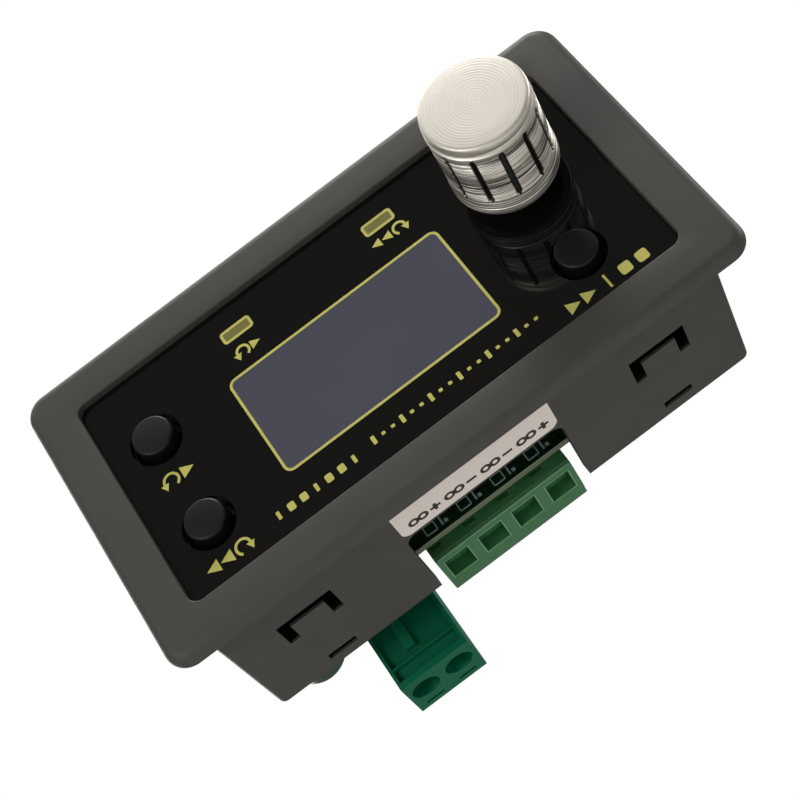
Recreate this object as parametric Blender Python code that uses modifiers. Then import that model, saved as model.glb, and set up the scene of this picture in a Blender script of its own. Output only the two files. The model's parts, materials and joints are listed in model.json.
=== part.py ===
"""Stepper driver module: a panel-mounted controller with a knob, three buttons and screw terminals.

World axes: +X to the right seen from the front, +Y towards the rear, +Z up. The origin is the centre
of the panel cut-out, in the plane of the bezel's back face. Sizes below are in millimetres.
"""

import math

import bmesh
import bpy
from mathutils import Matrix, Vector

MM = 0.001

# Clearances
GAP = 0.3                 # between two pieces that touch or rest on each other
RUNNING_GAP = 0.3         # radial, round a piece that slides or turns
STICKER_GAP = 0.05        # the adhesive under the sticker
SINK = 0.5                # how far a joined lump reaches into its parent
REACH = 5.0               # how far a cutter runs past the face that it opens

# Bezel, front recess and tub, one moulding
TUB_WIDTH = 70.5
TUB_HEIGHT = 38.4
TUB_DEPTH = 23.5
TUB_WALL = 1.6
TUB_CORNER = 1.0
FRONT_WALL = 1.0
BEZEL_LIP_SIDE = 4.25     # how far the bezel stands out beyond the tub
BEZEL_LIP_TOP = 2.3
BEZEL_THICK = 1.7
BEZEL_CORNER = 3.0
BEZEL_EDGE = 1.4
FRAME_SIDE = 5.7          # the bezel's face beside the recess
FRAME_TOP = 5.5
WINDOW_CORNER = 1.5
RECESS = 1.0

# Notch in the tub's bottom wall for the output terminal
NOTCH_CLEARANCE = 0.99    # beside the terminal
NOTCH_CORNER = 1.5
NOTCH_EDGE = 9.6          # its front edge, behind the bezel

# Snap tongues and coring slots, two in the bottom wall and two in the top wall
TONGUE_OFFSET = 25.05     # from the module's middle to the tongue's middle
TONGUE_WIDTH = 4.75
TONGUE_SLOT = 1.45
TONGUE_LENGTH = 3.3
BARB_HEIGHT = 1.2
BARB_LENGTH = 1.3
CORING_WIDTH = 4.0
HOOK_CORNERS = ((-1, 1), (1, 1), (1, -1))   # side and level; the supply socket fills the fourth

# Front panel
PANEL_THICK = 1.0
BUTTON_HOLE = 6.8

# Display and indicator lamps. Lamps' places are from the display's middle, as (x, z)
DISPLAY_PLACE = (-1.8, -1.4)
GLASS_WIDTH = 30.8
GLASS_HEIGHT = 16.4
GLASS_THICK = 1.8
BACKLIGHT_WIDTH = 36.0
BACKLIGHT_HEIGHT = 21.0
LAMP_OFFSETS = {"left_lamp": (-10.65, 13.25), "right_lamp": (10.45, 13.35)}
LAMP_WIDTH = 4.6
LAMP_HEIGHT = 2.2
LAMP_FOOT = 0.5
LAMP_FOOT_THICK = 1.6

# Push buttons and the tactile switches behind them
BUTTON_INSET = 6.3        # the left buttons, from the recess's left side
BUTTON_HEIGHTS = {"upper_left": 5.9, "lower_left": -7.9, "run": -8.8}
BUTTON_DIAMETER = 5.2
BUTTON_PROUD = 1.5        # in front of the panel
BUTTON_FLANGE = 7.6
FLANGE_THICK = 0.8
STEM_DIAMETER = 2.8
SWITCH_SIZE = 6.0
SWITCH_HEIGHT = 3.2
BUTTON_TRAVEL = 0.3

# Rotary encoder and knob
KNOB_INSET = 9.7          # from the recess's right side
KNOB_RISE = 5.3
ENCODER_WIDTH = 11.7
ENCODER_HEIGHT = 11.9
CLIP_SHEET = 0.35
CASTING_THICK = 1.6
COLLAR_DIAMETER = 7.0
COLLAR_LENGTH = 6.0
SHAFT_DIAMETER = 6.0
SHAFT_FLAT = 1.5          # depth of the flat along the shaft
SHAFT_TAIL = 3.1          # how far it reaches behind the casting's front
PLUNGER_THICK = 0.6
PUSH_TRAVEL = 0.5
KNOB_DIAMETER = 13.3
KNOB_TOP_DIAMETER = 13.1
KNOB_HEIGHT = 13.0
KNOB_STANDOFF = 2.6       # from the panel to the knob's rim
KNOB_WALL = 1.0
KNOB_GRIP_SLOTS = 12
KNOB_SLOT_WIDTH = 0.7
KNOB_SLOT_DEPTH = 0.5
KNOB_SLOT_LENGTH = 6.8
INSERT_RIM = 1.2          # the insert stops this far inside the knob's rim

# Circuit boards
FRONT_BOARD_SIDE_GAP = 1.85
FRONT_BOARD_TOP_GAP = 0.4
FRONT_BOARD_THICK = 1.6
FRONT_BOARD_PLACE = 7.8   # its front face, behind the bezel's back face
REAR_BOARD_SIDE_GAP = 0.45
REAR_BOARD_TOP_GAP = 0.4
REAR_BOARD_BOTTOM_GAP = 2.6
REAR_BOARD_THICK = 1.2
REAR_BOARD_SETBACK = 3.0  # its front face, in front of the tub's rear edge
LEDGE_LENGTH = 2.0
LEDGE_WIDTH = 8.0
POST_DIAMETER = 3.0

# Board-to-board connector
LINK_PLACE = (4.0, 12.6)
LINK_PINS = 6
PIN_PITCH = 2.54
PIN_SIZE = 0.64
LINK_HEIGHT = 2.5
LINK_INSULATOR = 2.5

# Screw terminals, shared by the output block and the supply plug
POLE_PITCH = 5.08
SCREW_HEAD = 3.4
SCREW_HEAD_THICK = 1.6
SCREW_SHANK = 2.4
DRIVER_SLOT = 0.6
CAGE_WIDTH = 3.4
CAGE_HEIGHT = 4.6         # along the screw
CAGE_PLATE = 0.75
CAGE_CHEEK = 0.5
CLAMP_TRAVEL = 1.0
SCREW_SHOULDER = 0.4      # the ledge that the screw head rests on

# Output terminal block, wires from below, screws facing the rear
OUTPUT_POLES = 4
OUTPUT_MIDDLE = -0.1
OUTPUT_FACE = -16.9       # height of the face with the wire windows
OUTPUT_DEPTH = 8.0
OUTPUT_STANDOFF = 0.45
OUTPUT_LENGTH = 9.85
OUTPUT_LEAN = 0.5         # how far the upper part leans back
OUTPUT_RIDGE = 6.35       # where the lean starts, from the block's foot
WIRE_WINDOW = 3.35
WIRE_WINDOW_START = 1.4
WIRE_WINDOW_LENGTH = 4.45
WIRE_FUNNEL = 2.7
OUTPUT_CAGE_DEPTH = 3.6

# Supply connector: socket on the board, plug with its screws facing down
SUPPLY_POLES = 2
SUPPLY_SPACING = 1.84     # between the output terminal and the socket
SOCKET_FLANK = 0.92       # each side of the poles
SOCKET_HEIGHT = 8.4
SOCKET_OVERHANG = 0.4     # below the rear board's bottom edge
SOCKET_LENGTH = 8.5
SOCKET_WALL = 0.8
SOCKET_FLOOR = 1.5
SOCKET_PIN = 1.0
SOCKET_PIN_LENGTH = 5.0
PLUG_BOTTOM = -23.6
PLUG_TOP = -7.8
PLUG_DEPTH = 8.5
PLUG_NOSE = 6.6
PLUG_SCREW_PLACE = 3.5    # from the tower's front face to the screws
PLUG_POCKET_DEPTH = 0.9
PLUG_FRAME = 0.5
PLUG_LEDGE = 3.0          # height of the ledge above the tower's foot
PLUG_LIP = 0.9
PLUG_LEDGE_THICK = 0.25
PLUG_RIB = 1.4
PLUG_RIB_OFFSET = -1.0
PLUG_RIB_LENGTH = 5.2
PLUG_BORE = 4.0
PLUG_CAGE_DEPTH = 3.9
PLUG_WIRE_HEIGHT = 4.2
PLUG_WIRE_WIDTH = 3.2
PLUG_SLIT = 0.5
PLUG_SLIT_WIDTH = 2.6
PLUG_SLIT_PLACE = 1.25    # from the tower's rear face

# Parts on the boards
CAPACITOR_DIAMETER = 8.0
CAPACITOR_LENGTH = 7.7
CAPACITOR_SIDE_GAP = 0.35
CAPACITOR_BOTTOM_GAP = 0.4
CHIP_SIZE = 7.0
CHIP_THICK = 1.0
DRIVER_PLACE = (22.0, 5.0)
HEAT_SINK_SIZE = 9.0
HEAT_SINK_BASE = 1.2
HEAT_SINK_HEIGHT = 5.0
HEAT_SINK_FINS = 5
HEAT_SINK_FIN = 0.8
INDUCTOR_SIZE = 6.0
INDUCTOR_HEIGHT = 3.0
INDUCTOR_PLACE = (-19.0, 6.0)
REGULATOR_SIZE = (5.0, 4.0)
REGULATOR_PLACE = (-28.0, 5.5)
RESISTOR_SIZE = (6.4, 3.2)
RESISTOR_THICK = 0.6
RESISTOR_PLACES = {"left_sense_resistor": (14.5, -12.2), "right_sense_resistor": (22.5, -12.2)}
CONTROLLER_PLACE = (-14.0, 2.0)

# Sticker on the tub's bottom
STICKER_WIDTH = 22.0
STICKER_LENGTH = 6.6
STICKER_THICK = 0.1
STICKER_CORNER = 1.2
STICKER_SETBACK = 0.6     # from the notch's edge

# Sizes and places worked out from the values above
BEZEL_WIDTH = TUB_WIDTH + 2 * BEZEL_LIP_SIDE
BEZEL_HEIGHT = TUB_HEIGHT + 2 * BEZEL_LIP_TOP
WINDOW_WIDTH = BEZEL_WIDTH - 2 * FRAME_SIDE
WINDOW_HEIGHT = BEZEL_HEIGHT - 2 * FRAME_TOP
INNER_WIDTH = TUB_WIDTH - 2 * TUB_WALL
INNER_HEIGHT = TUB_HEIGHT - 2 * TUB_WALL
ENCODER_PLACE = (WINDOW_WIDTH / 2 - KNOB_INSET, KNOB_RISE)
LEFT_BUTTONS = -WINDOW_WIDTH / 2 + BUTTON_INSET
BUTTON_PLACES = {name: (ENCODER_PLACE[0] if name == "run" else LEFT_BUTTONS, height)
                 for name, height in BUTTON_HEIGHTS.items()}
LAMP_PLACES = {name: (DISPLAY_PLACE[0] + across, DISPLAY_PLACE[1] + up)
               for name, (across, up) in LAMP_OFFSETS.items()}
FRONT_BOARD_WIDTH = INNER_WIDTH - 2 * FRONT_BOARD_SIDE_GAP
FRONT_BOARD_HEIGHT = INNER_HEIGHT - 2 * FRONT_BOARD_TOP_GAP
REAR_BOARD_WIDTH = INNER_WIDTH - 2 * REAR_BOARD_SIDE_GAP
REAR_BOARD_TOP = INNER_HEIGHT / 2 - REAR_BOARD_TOP_GAP
REAR_BOARD_BOTTOM = REAR_BOARD_BOTTOM_GAP - INNER_HEIGHT / 2
OUTPUT_WIDTH = OUTPUT_POLES * POLE_PITCH
NOTCH_WIDTH = OUTPUT_WIDTH + 2 * NOTCH_CLEARANCE
PLUG_WIDTH = SUPPLY_POLES * POLE_PITCH
SOCKET_WIDTH = PLUG_WIDTH + 2 * SOCKET_FLANK
SOCKET_BOTTOM = REAR_BOARD_BOTTOM - SOCKET_OVERHANG
SUPPLY_MIDDLE = OUTPUT_MIDDLE - OUTPUT_WIDTH / 2 - SUPPLY_SPACING - SOCKET_WIDTH / 2
CAPACITOR_PLACE = (CAPACITOR_SIDE_GAP + (CAPACITOR_DIAMETER - INNER_WIDTH) / 2,
                   CAPACITOR_BOTTOM_GAP + (CAPACITOR_DIAMETER - INNER_HEIGHT) / 2)

# Planes worked out from the sizes above, as distances along Y
BEZEL_FRONT = -BEZEL_THICK
PANEL_FRONT = BEZEL_FRONT + RECESS
PANEL_BACK = PANEL_FRONT + PANEL_THICK
SEAT = PANEL_BACK + GAP
WALL_BACK = SEAT + FRONT_WALL
FRONT_BOARD_BACK = FRONT_BOARD_PLACE + FRONT_BOARD_THICK
REAR_BOARD_PLACE = TUB_DEPTH - REAR_BOARD_SETBACK
REAR_BOARD_BACK = REAR_BOARD_PLACE + REAR_BOARD_THICK
ON_FRONT_BOARD = FRONT_BOARD_PLACE - GAP
ON_REAR_BOARD = REAR_BOARD_BACK + GAP


# Scene and materials

def clear_scene():
    for item in list(bpy.data.objects):
        bpy.data.objects.remove(item, do_unlink=True)


def make_collection(name, hidden=False):
    group = bpy.data.collections.new(name)
    bpy.context.scene.collection.children.link(group)
    group.hide_render = hidden
    return group


def make_material(name, colour, roughness, metallic=0.0):
    material = bpy.data.materials.new(name)
    material.use_nodes = True
    shader = material.node_tree.nodes["Principled BSDF"]
    shader.inputs["Base Color"].default_value = (*colour, 1.0)
    shader.inputs["Roughness"].default_value = roughness
    shader.inputs["Metallic"].default_value = metallic
    return material


clear_scene()
PARTS = make_collection("stepper_driver_module")
CUTTERS = make_collection("cutters", hidden=True)

HOUSING_PLASTIC = make_material("grey_abs", (0.070, 0.067, 0.060), 0.45)
PANEL_ACRYLIC = make_material("black_acrylic", (0.010, 0.010, 0.009), 0.05)
STICKER_PAPER = make_material("white_sticker", (0.62, 0.53, 0.48), 0.5)
DISPLAY_GLASS = make_material("display_glass", (0.078, 0.078, 0.105), 0.1)
WHITE_PLASTIC = make_material("white_plastic", (0.7, 0.7, 0.68), 0.4)
BOARD_LAMINATE = make_material("green_solder_mask", (0.008, 0.045, 0.020), 0.35)
BUTTON_PLASTIC = make_material("black_abs", (0.012, 0.012, 0.012), 0.35)
SWITCH_STEEL = make_material("switch_cover", (0.45, 0.45, 0.44), 0.35, 1.0)
LAMP_EPOXY = make_material("lamp_epoxy", (0.19, 0.17, 0.05), 0.3)
ZINC_CASTING = make_material("zinc_casting", (0.50, 0.49, 0.46), 0.35, 1.0)
STEEL_SHEET = make_material("steel_sheet", (0.56, 0.55, 0.53), 0.3, 1.0)
SPUN_ALUMINIUM = make_material("spun_aluminium", (0.73, 0.68, 0.57), 0.3, 1.0)
BLACK_NYLON = make_material("black_nylon", (0.02, 0.02, 0.02), 0.5)
LIGHT_GREEN_NYLON = make_material("green_nylon", (0.065, 0.22, 0.085), 0.4)
DARK_GREEN_NYLON = make_material("dark_green_nylon", (0.005, 0.115, 0.061), 0.4)
PLATED_STEEL = make_material("plated_steel", (0.58, 0.57, 0.54), 0.3, 1.0)
TINNED_BRASS = make_material("tinned_brass", (0.66, 0.60, 0.47), 0.35, 1.0)
CAPACITOR_SLEEVE = make_material("capacitor_sleeve", (0.010, 0.060, 0.030), 0.3)
CHIP_EPOXY = make_material("chip_epoxy", (0.015, 0.015, 0.016), 0.5)
BLACK_ANODISED = make_material("black_anodised", (0.03, 0.03, 0.032), 0.4, 1.0)
FERRITE = make_material("ferrite", (0.035, 0.035, 0.037), 0.6)


# Shapes

def add_object(name, mesh, place, material=None):
    """An object in the parts' collection, or among the cutters when it has no material."""
    item = bpy.data.objects.new(name, mesh)
    item.location = Vector(place) * MM
    if material is None:
        CUTTERS.objects.link(item)
        item.display_type = "WIRE"
        item.hide_render = True
    else:
        PARTS.objects.link(item)
        mesh.materials.clear()
        mesh.materials.append(material)
    return item


def edges_along(shape, axis):
    """The edges of a box that run along an axis, 0 to 2."""
    found = []
    for edge in shape.edges:
        span = edge.verts[1].co - edge.verts[0].co
        if abs(span[axis]) > 0.99 * span.length:
            found.append(edge)
    return found


def box_mesh(name, size, corner=0.0, axis=1, segments=4, front_edge=0.0):
    """A block, with its edges along one axis rounded, and the edges of its front face if asked."""
    shape = bmesh.new()
    bmesh.ops.create_cube(shape, size=1.0)
    bmesh.ops.scale(shape, vec=Vector(size) * MM, verts=shape.verts)
    if corner > 0:
        bmesh.ops.bevel(shape, geom=edges_along(shape, axis), offset=corner * MM, segments=segments,
                        profile=0.5, affect="EDGES")
    if front_edge > 0:
        front = -size[1] * MM / 2
        rim = [edge for edge in shape.edges
               if all(abs(corner_point.co.y - front) < 1e-7 for corner_point in edge.verts)]
        bmesh.ops.bevel(shape, geom=rim, offset=front_edge * MM, segments=segments,
                        profile=0.5, affect="EDGES")
    mesh = bpy.data.meshes.new(name)
    shape.to_mesh(mesh)
    shape.free()
    return mesh


def box(name, low, high, material=None, **rounding):
    """A block between two opposite corners."""
    low, high = Vector(low), Vector(high)
    return add_object(name, box_mesh(name, high - low, **rounding), (low + high) / 2, material)


def centred_box(name, place, size, near, far, material=None, **rounding):
    """A block centred on an (x, z) place, size (width, height), between two planes along Y."""
    low = (place[0] - size[0] / 2, near, place[1] - size[1] / 2)
    high = (place[0] + size[0] / 2, far, place[1] + size[1] / 2)
    return box(name, low, high, material, **rounding)


def turned(name, profile, place, direction, material=None, steps=32):
    """A turned piece. The profile holds (radius, height) pairs, down the outer side from top to bottom."""
    mesh = bpy.data.meshes.new(name)
    points = [(radius * MM, 0.0, height * MM) for radius, height in profile]
    closed = profile[0][0] > 0
    count = len(points)
    edges = [(index, index + 1) for index in range(count - 1)]
    if closed:
        edges.append((count - 1, 0))
    mesh.from_pydata(points, edges, [])
    item = add_object(name, mesh, place, material)
    item.rotation_euler = Vector(direction).to_track_quat("Z", "Y").to_euler()
    screw = item.modifiers.new("turn", "SCREW")
    screw.angle = 2 * math.pi
    screw.steps = steps
    screw.render_steps = steps
    screw.use_merge_vertices = True
    screw.merge_threshold = 0.00001
    return item


def rod(name, radius, place, direction, length, material=None, steps=32):
    """A plain cylinder from a place along a direction."""
    profile = [(0, length), (radius, length), (radius, 0), (0, 0)]
    return turned(name, profile, place, direction, material, steps)


def outline_mesh(name, points, thickness):
    """A flat outline in local XY, made a solid of the given thickness about Z = 0."""
    curve = bpy.data.curves.new(name, "CURVE")
    curve.dimensions = "2D"
    curve.fill_mode = "BOTH"
    curve.extrude = thickness * MM / 2
    spline = curve.splines.new("POLY")
    spline.points.add(len(points) - 1)
    for point, (across, along) in zip(spline.points, points):
        point.co = (across * MM, along * MM, 0.0, 1.0)
    spline.use_cyclic_u = True
    guide = bpy.data.objects.new(name + "_outline", curve)
    CUTTERS.objects.link(guide)
    mesh = bpy.data.meshes.new_from_object(guide.evaluated_get(bpy.context.evaluated_depsgraph_get()))
    bpy.data.objects.remove(guide)
    shape = bmesh.new()
    shape.from_mesh(mesh)
    bmesh.ops.remove_doubles(shape, verts=shape.verts, dist=0.000001)
    shape.to_mesh(mesh)
    shape.free()
    return mesh


def profile_solid(name, points, low, high, material=None):
    """An outline of (y, z) points carried along X between two values."""
    mesh = outline_mesh(name, points, high - low)
    mesh.transform(Matrix(((0, 0, 1, 0), (1, 0, 0, 0), (0, 1, 0, 0), (0, 0, 0, 1))))
    return add_object(name, mesh, ((low + high) / 2, 0, 0), material)


def plan_solid(name, points, low, high, material=None):
    """An outline of (x, y) points carried along Z between two values."""
    return add_object(name, outline_mesh(name, points, high - low), (0, 0, (low + high) / 2), material)


def combine(target, other, operation):
    step = target.modifiers.new(operation.lower(), "BOOLEAN")
    step.operation = operation
    step.solver = "EXACT"
    step.object = other
    return target


def cut(target, *others):
    for other in others:
        combine(target, other, "DIFFERENCE")
    return target


def join(target, *others):
    for other in others:
        combine(target, other, "UNION")
    return target


def smooth(item, angle=40.0):
    item.data.shade_smooth()
    item.data.set_sharp_from_angle(angle=math.radians(angle))
    return item


# Housing

def snap_tongue(housing, side, level):
    """A tongue left by a U-shaped slot, its barb, the coring slot behind it and its board hook."""
    slot_front = FRONT_BOARD_PLACE + GAP
    slot_back = slot_front + TONGUE_SLOT
    middle = side * TONGUE_OFFSET
    inner = TONGUE_WIDTH / 2
    outer = inner + TONGUE_SLOT
    end = slot_back + TONGUE_LENGTH
    outline = [(middle - outer, slot_front), (middle + outer, slot_front), (middle + outer, end),
               (middle + inner, end), (middle + inner, slot_back), (middle - inner, slot_back),
               (middle - inner, end), (middle - outer, end)]
    face = level * TUB_HEIGHT / 2
    floor = level * INNER_HEIGHT / 2
    low, high = sorted((face + level * REACH, floor - level * SINK))
    cut(housing, plan_solid("tongue_slot", outline, low, high))

    coring = box("coring_slot", (middle - CORING_WIDTH / 2, REAR_BOARD_PLACE, low),
                 (middle + CORING_WIDTH / 2, REAR_BOARD_BACK, high))
    cut(housing, coring)

    barb_front = FRONT_BOARD_BACK + GAP
    barb_low, barb_high = sorted((floor + level * SINK, floor - level * BARB_HEIGHT))
    barb = box("tongue_barb", (middle - inner + GAP, barb_front, barb_low),
               (middle + inner - GAP, barb_front + BARB_LENGTH, barb_high))
    join(housing, barb)

    if (side, level) not in HOOK_CORNERS:
        return
    edge = REAR_BOARD_TOP if level > 0 else -REAR_BOARD_BOTTOM
    hook_tip = level * (edge - 2 * GAP)
    hook_low, hook_high = sorted((floor + level * SINK, hook_tip))
    hook = box("board_hook", (middle - CORING_WIDTH / 2 - GAP, ON_REAR_BOARD, hook_low),
               (middle + CORING_WIDTH / 2 + GAP, ON_REAR_BOARD + BARB_LENGTH, hook_high))
    join(housing, hook)


def board_supports(housing, side):
    """Two posts that the front board rests on, and two ledges for the rear board."""
    reach = FRONT_BOARD_WIDTH / 2 - POST_DIAMETER / 2
    for level in (-1, 1):
        height = level * (FRONT_BOARD_HEIGHT / 2 - POST_DIAMETER / 2)
        post = rod("board_post", POST_DIAMETER / 2, (side * reach, WALL_BACK - SINK, height), (0, 1, 0),
                   ON_FRONT_BOARD - WALL_BACK + SINK, steps=16)
        join(housing, post)
        wall = side * (INNER_WIDTH / 2 + SINK)
        tip = side * (FRONT_BOARD_WIDTH / 2 + GAP)
        low, high = sorted((wall, tip))
        rest = REAR_BOARD_PLACE - GAP
        middle = level * LEDGE_WIDTH * 1.4
        ledge = box("board_ledge", (low, rest - LEDGE_LENGTH, middle - LEDGE_WIDTH / 2),
                    (high, rest, middle + LEDGE_WIDTH / 2))
        join(housing, ledge)


def make_housing():
    bezel = centred_box("housing", (0, 0), (BEZEL_WIDTH, BEZEL_HEIGHT), BEZEL_FRONT, 0, HOUSING_PLASTIC,
                        corner=BEZEL_CORNER, segments=6, front_edge=BEZEL_EDGE)
    join(bezel, centred_box("tub_block", (0, 0), (TUB_WIDTH, TUB_HEIGHT), BEZEL_FRONT / 2, TUB_DEPTH,
                            corner=TUB_CORNER))
    cut(bezel,
        centred_box("tub_cavity", (0, 0), (INNER_WIDTH, INNER_HEIGHT), WALL_BACK, TUB_DEPTH + REACH),
        centred_box("front_recess", (0, 0), (WINDOW_WIDTH, WINDOW_HEIGHT), BEZEL_FRONT - REACH, SEAT,
                    corner=WINDOW_CORNER))
    openings = [centred_box("display_opening", DISPLAY_PLACE,
                            (GLASS_WIDTH + 2 * GAP, GLASS_HEIGHT + 2 * GAP), SEAT - SINK, WALL_BACK + SINK)]
    for name, place in LAMP_PLACES.items():
        openings.append(centred_box(name + "_opening", place, (LAMP_WIDTH + 2 * GAP, LAMP_HEIGHT + 2 * GAP),
                                    SEAT - SINK, WALL_BACK + SINK))
    for name, place in BUTTON_PLACES.items():
        openings.append(rod(name + "_opening", BUTTON_HOLE / 2, (place[0], SEAT - SINK, place[1]), (0, 1, 0),
                            FRONT_WALL + 2 * SINK, steps=24))
    openings.append(rod("collar_opening", COLLAR_DIAMETER / 2 + GAP, (ENCODER_PLACE[0], SEAT - SINK,
                                                                       ENCODER_PLACE[1]), (0, 1, 0),
                        FRONT_WALL + 2 * SINK, steps=24))
    cut(bezel, *openings)
    notch = box("terminal_notch", (-NOTCH_WIDTH / 2, NOTCH_EDGE, -TUB_HEIGHT / 2 - REACH),
                (NOTCH_WIDTH / 2, TUB_DEPTH + REACH, -INNER_HEIGHT / 2 + SINK), corner=NOTCH_CORNER, axis=2)
    cut(bezel, notch)
    for side in (-1, 1):
        board_supports(bezel, side)
        for level in (-1, 1):
            snap_tongue(bezel, side, level)
    smooth(bezel, 30)
    return bezel


def make_front_panel():
    size = (WINDOW_WIDTH - 2 * GAP, WINDOW_HEIGHT - 2 * GAP)
    panel = centred_box("front_panel", (0, 0), size, PANEL_FRONT, PANEL_BACK, PANEL_ACRYLIC,
                        corner=WINDOW_CORNER - GAP)
    for name, place in BUTTON_PLACES.items():
        cut(panel, rod(name + "_hole", BUTTON_HOLE / 2, (place[0], PANEL_FRONT - SINK, place[1]), (0, 1, 0),
                       PANEL_THICK + 2 * SINK, steps=32))
    cut(panel, rod("collar_hole", COLLAR_DIAMETER / 2 + GAP,
                   (ENCODER_PLACE[0], PANEL_FRONT - SINK, ENCODER_PLACE[1]), (0, 1, 0),
                   PANEL_THICK + 2 * SINK, steps=32))


def make_sticker():
    """The connection sticker on the tub's bottom, in front of the notch."""
    rear = NOTCH_EDGE - STICKER_SETBACK
    face = -TUB_HEIGHT / 2 - STICKER_GAP
    box("terminal_sticker", (-STICKER_WIDTH / 2, rear - STICKER_LENGTH, face - STICKER_THICK),
        (STICKER_WIDTH / 2, rear, face), STICKER_PAPER, corner=STICKER_CORNER, axis=2)


# Front board and what stands on it

def make_front_board():
    size = (FRONT_BOARD_WIDTH, FRONT_BOARD_HEIGHT)
    centred_box("front_board", (0, 0), size, FRONT_BOARD_PLACE, FRONT_BOARD_BACK, BOARD_LAMINATE)


def make_display():
    glass_front = PANEL_BACK + GAP
    glass_back = glass_front + GLASS_THICK
    centred_box("display_glass", DISPLAY_PLACE, (GLASS_WIDTH, GLASS_HEIGHT), glass_front, glass_back,
                DISPLAY_GLASS)
    centred_box("display_backlight", DISPLAY_PLACE, (BACKLIGHT_WIDTH, BACKLIGHT_HEIGHT), glass_back + GAP,
                ON_FRONT_BOARD, WHITE_PLASTIC)


def make_lamp(name, place):
    """A rectangular lamp whose head stands in its opening, on a wider foot."""
    foot = ON_FRONT_BOARD - LAMP_FOOT_THICK
    lamp = centred_box(name, place, (LAMP_WIDTH, LAMP_HEIGHT), PANEL_BACK + GAP, foot + SINK, LAMP_EPOXY)
    base = centred_box(name + "_foot", place, (LAMP_WIDTH + 2 * LAMP_FOOT, LAMP_HEIGHT + 2 * LAMP_FOOT), foot,
                       ON_FRONT_BOARD)
    join(lamp, base)


def make_button(name, place):
    """A cap with a retaining flange and a stem, turned in one piece, on its tactile switch."""
    top = PANEL_FRONT - BUTTON_PROUD
    switch_top = ON_FRONT_BOARD - SWITCH_HEIGHT
    flange_front = WALL_BACK + GAP
    flange_back = flange_front + FLANGE_THICK
    cap_back = switch_top - GAP - BUTTON_TRAVEL
    stem_back = switch_top + SWITCH_HEIGHT / 2 - 2 * BUTTON_TRAVEL
    radius = BUTTON_DIAMETER / 2
    edge = 0.3
    outline = [(0, top), (radius - edge, top), (radius, top + edge), (radius, flange_front),
               (BUTTON_FLANGE / 2, flange_front), (BUTTON_FLANGE / 2, flange_back), (radius, flange_back),
               (radius, cap_back), (STEM_DIAMETER / 2, cap_back), (STEM_DIAMETER / 2, stem_back),
               (0, stem_back)]
    profile = [(across, -along) for across, along in outline]
    smooth(turned(name + "_button", profile, (place[0], 0, place[1]), (0, -1, 0), BUTTON_PLASTIC, steps=28))

    switch = centred_box(name + "_switch", place, (SWITCH_SIZE, SWITCH_SIZE), switch_top, ON_FRONT_BOARD,
                         SWITCH_STEEL)
    cut(switch, rod(name + "_stem_hole", STEM_DIAMETER / 2 + RUNNING_GAP,
                    (place[0], switch_top - SINK, place[1]), (0, 1, 0), SWITCH_HEIGHT / 2 + SINK, steps=20))


# Rotary encoder and knob

def flatted_bar(name, radius, near, far, flat_end, material=None):
    """A round bar along Y from near to far, with one flat on its upper side as far as flat_end."""
    x, z = ENCODER_PLACE
    bar = rod(name, radius, (x, near, z), (0, 1, 0), far - near, material)
    cut(bar, box(name + "_flat", (x - 2 * radius, near - SINK, z + radius - SHAFT_FLAT),
                 (x + 2 * radius, flat_end, z + 2 * radius)))
    return bar


def make_encoder():
    x, z = ENCODER_PLACE
    clip_front = WALL_BACK + GAP
    clip_back = clip_front + CLIP_SHEET
    casting_front = clip_back + GAP
    casting_back = casting_front + CASTING_THICK
    base_front = casting_back + GAP
    bore = SHAFT_DIAMETER / 2 + RUNNING_GAP

    clip_size = (ENCODER_WIDTH + 2 * (GAP + CLIP_SHEET), ENCODER_HEIGHT)
    clip = centred_box("encoder_clip", ENCODER_PLACE, clip_size, clip_front, ON_FRONT_BOARD, STEEL_SHEET)
    cut(clip,
        centred_box("clip_inside", ENCODER_PLACE, (ENCODER_WIDTH + 2 * GAP, ENCODER_HEIGHT + REACH),
                    clip_back, ON_FRONT_BOARD + SINK),
        rod("clip_hole", COLLAR_DIAMETER / 2 + GAP, (x, clip_front - SINK, z), (0, 1, 0),
            CLIP_SHEET + 2 * SINK, steps=24))

    casting = centred_box("encoder_collar", ENCODER_PLACE, (ENCODER_WIDTH, ENCODER_HEIGHT), casting_front,
                          casting_back, ZINC_CASTING)
    join(casting, rod("collar_tube", COLLAR_DIAMETER / 2, (x, casting_front - COLLAR_LENGTH, z), (0, 1, 0),
                      COLLAR_LENGTH + SINK, steps=28))
    cut(casting, rod("collar_bore", bore, (x, casting_front - COLLAR_LENGTH - SINK, z), (0, 1, 0),
                     COLLAR_LENGTH + CASTING_THICK + 2 * SINK, steps=28))

    base = centred_box("encoder_base", ENCODER_PLACE, (ENCODER_WIDTH, ENCODER_HEIGHT), base_front,
                       ON_FRONT_BOARD, BLACK_NYLON)
    cut(base, rod("base_bore", bore, (x, base_front - SINK, z), (0, 1, 0),
                  ON_FRONT_BOARD - base_front + SINK - GAP, steps=28))

    shaft_back = casting_front + SHAFT_TAIL
    knob_rim = PANEL_FRONT - KNOB_STANDOFF
    shaft_front = knob_rim - KNOB_HEIGHT + KNOB_WALL + 2 * GAP
    flat_end = casting_front - COLLAR_LENGTH - PUSH_TRAVEL
    smooth(flatted_bar("encoder_shaft", SHAFT_DIAMETER / 2, shaft_front, shaft_back, flat_end, ZINC_CASTING))
    smooth(rod("push_plunger", SHAFT_DIAMETER / 2 - GAP, (x, shaft_back + GAP, z), (0, 1, 0), PLUNGER_THICK,
               BLACK_NYLON, steps=20))


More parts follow.
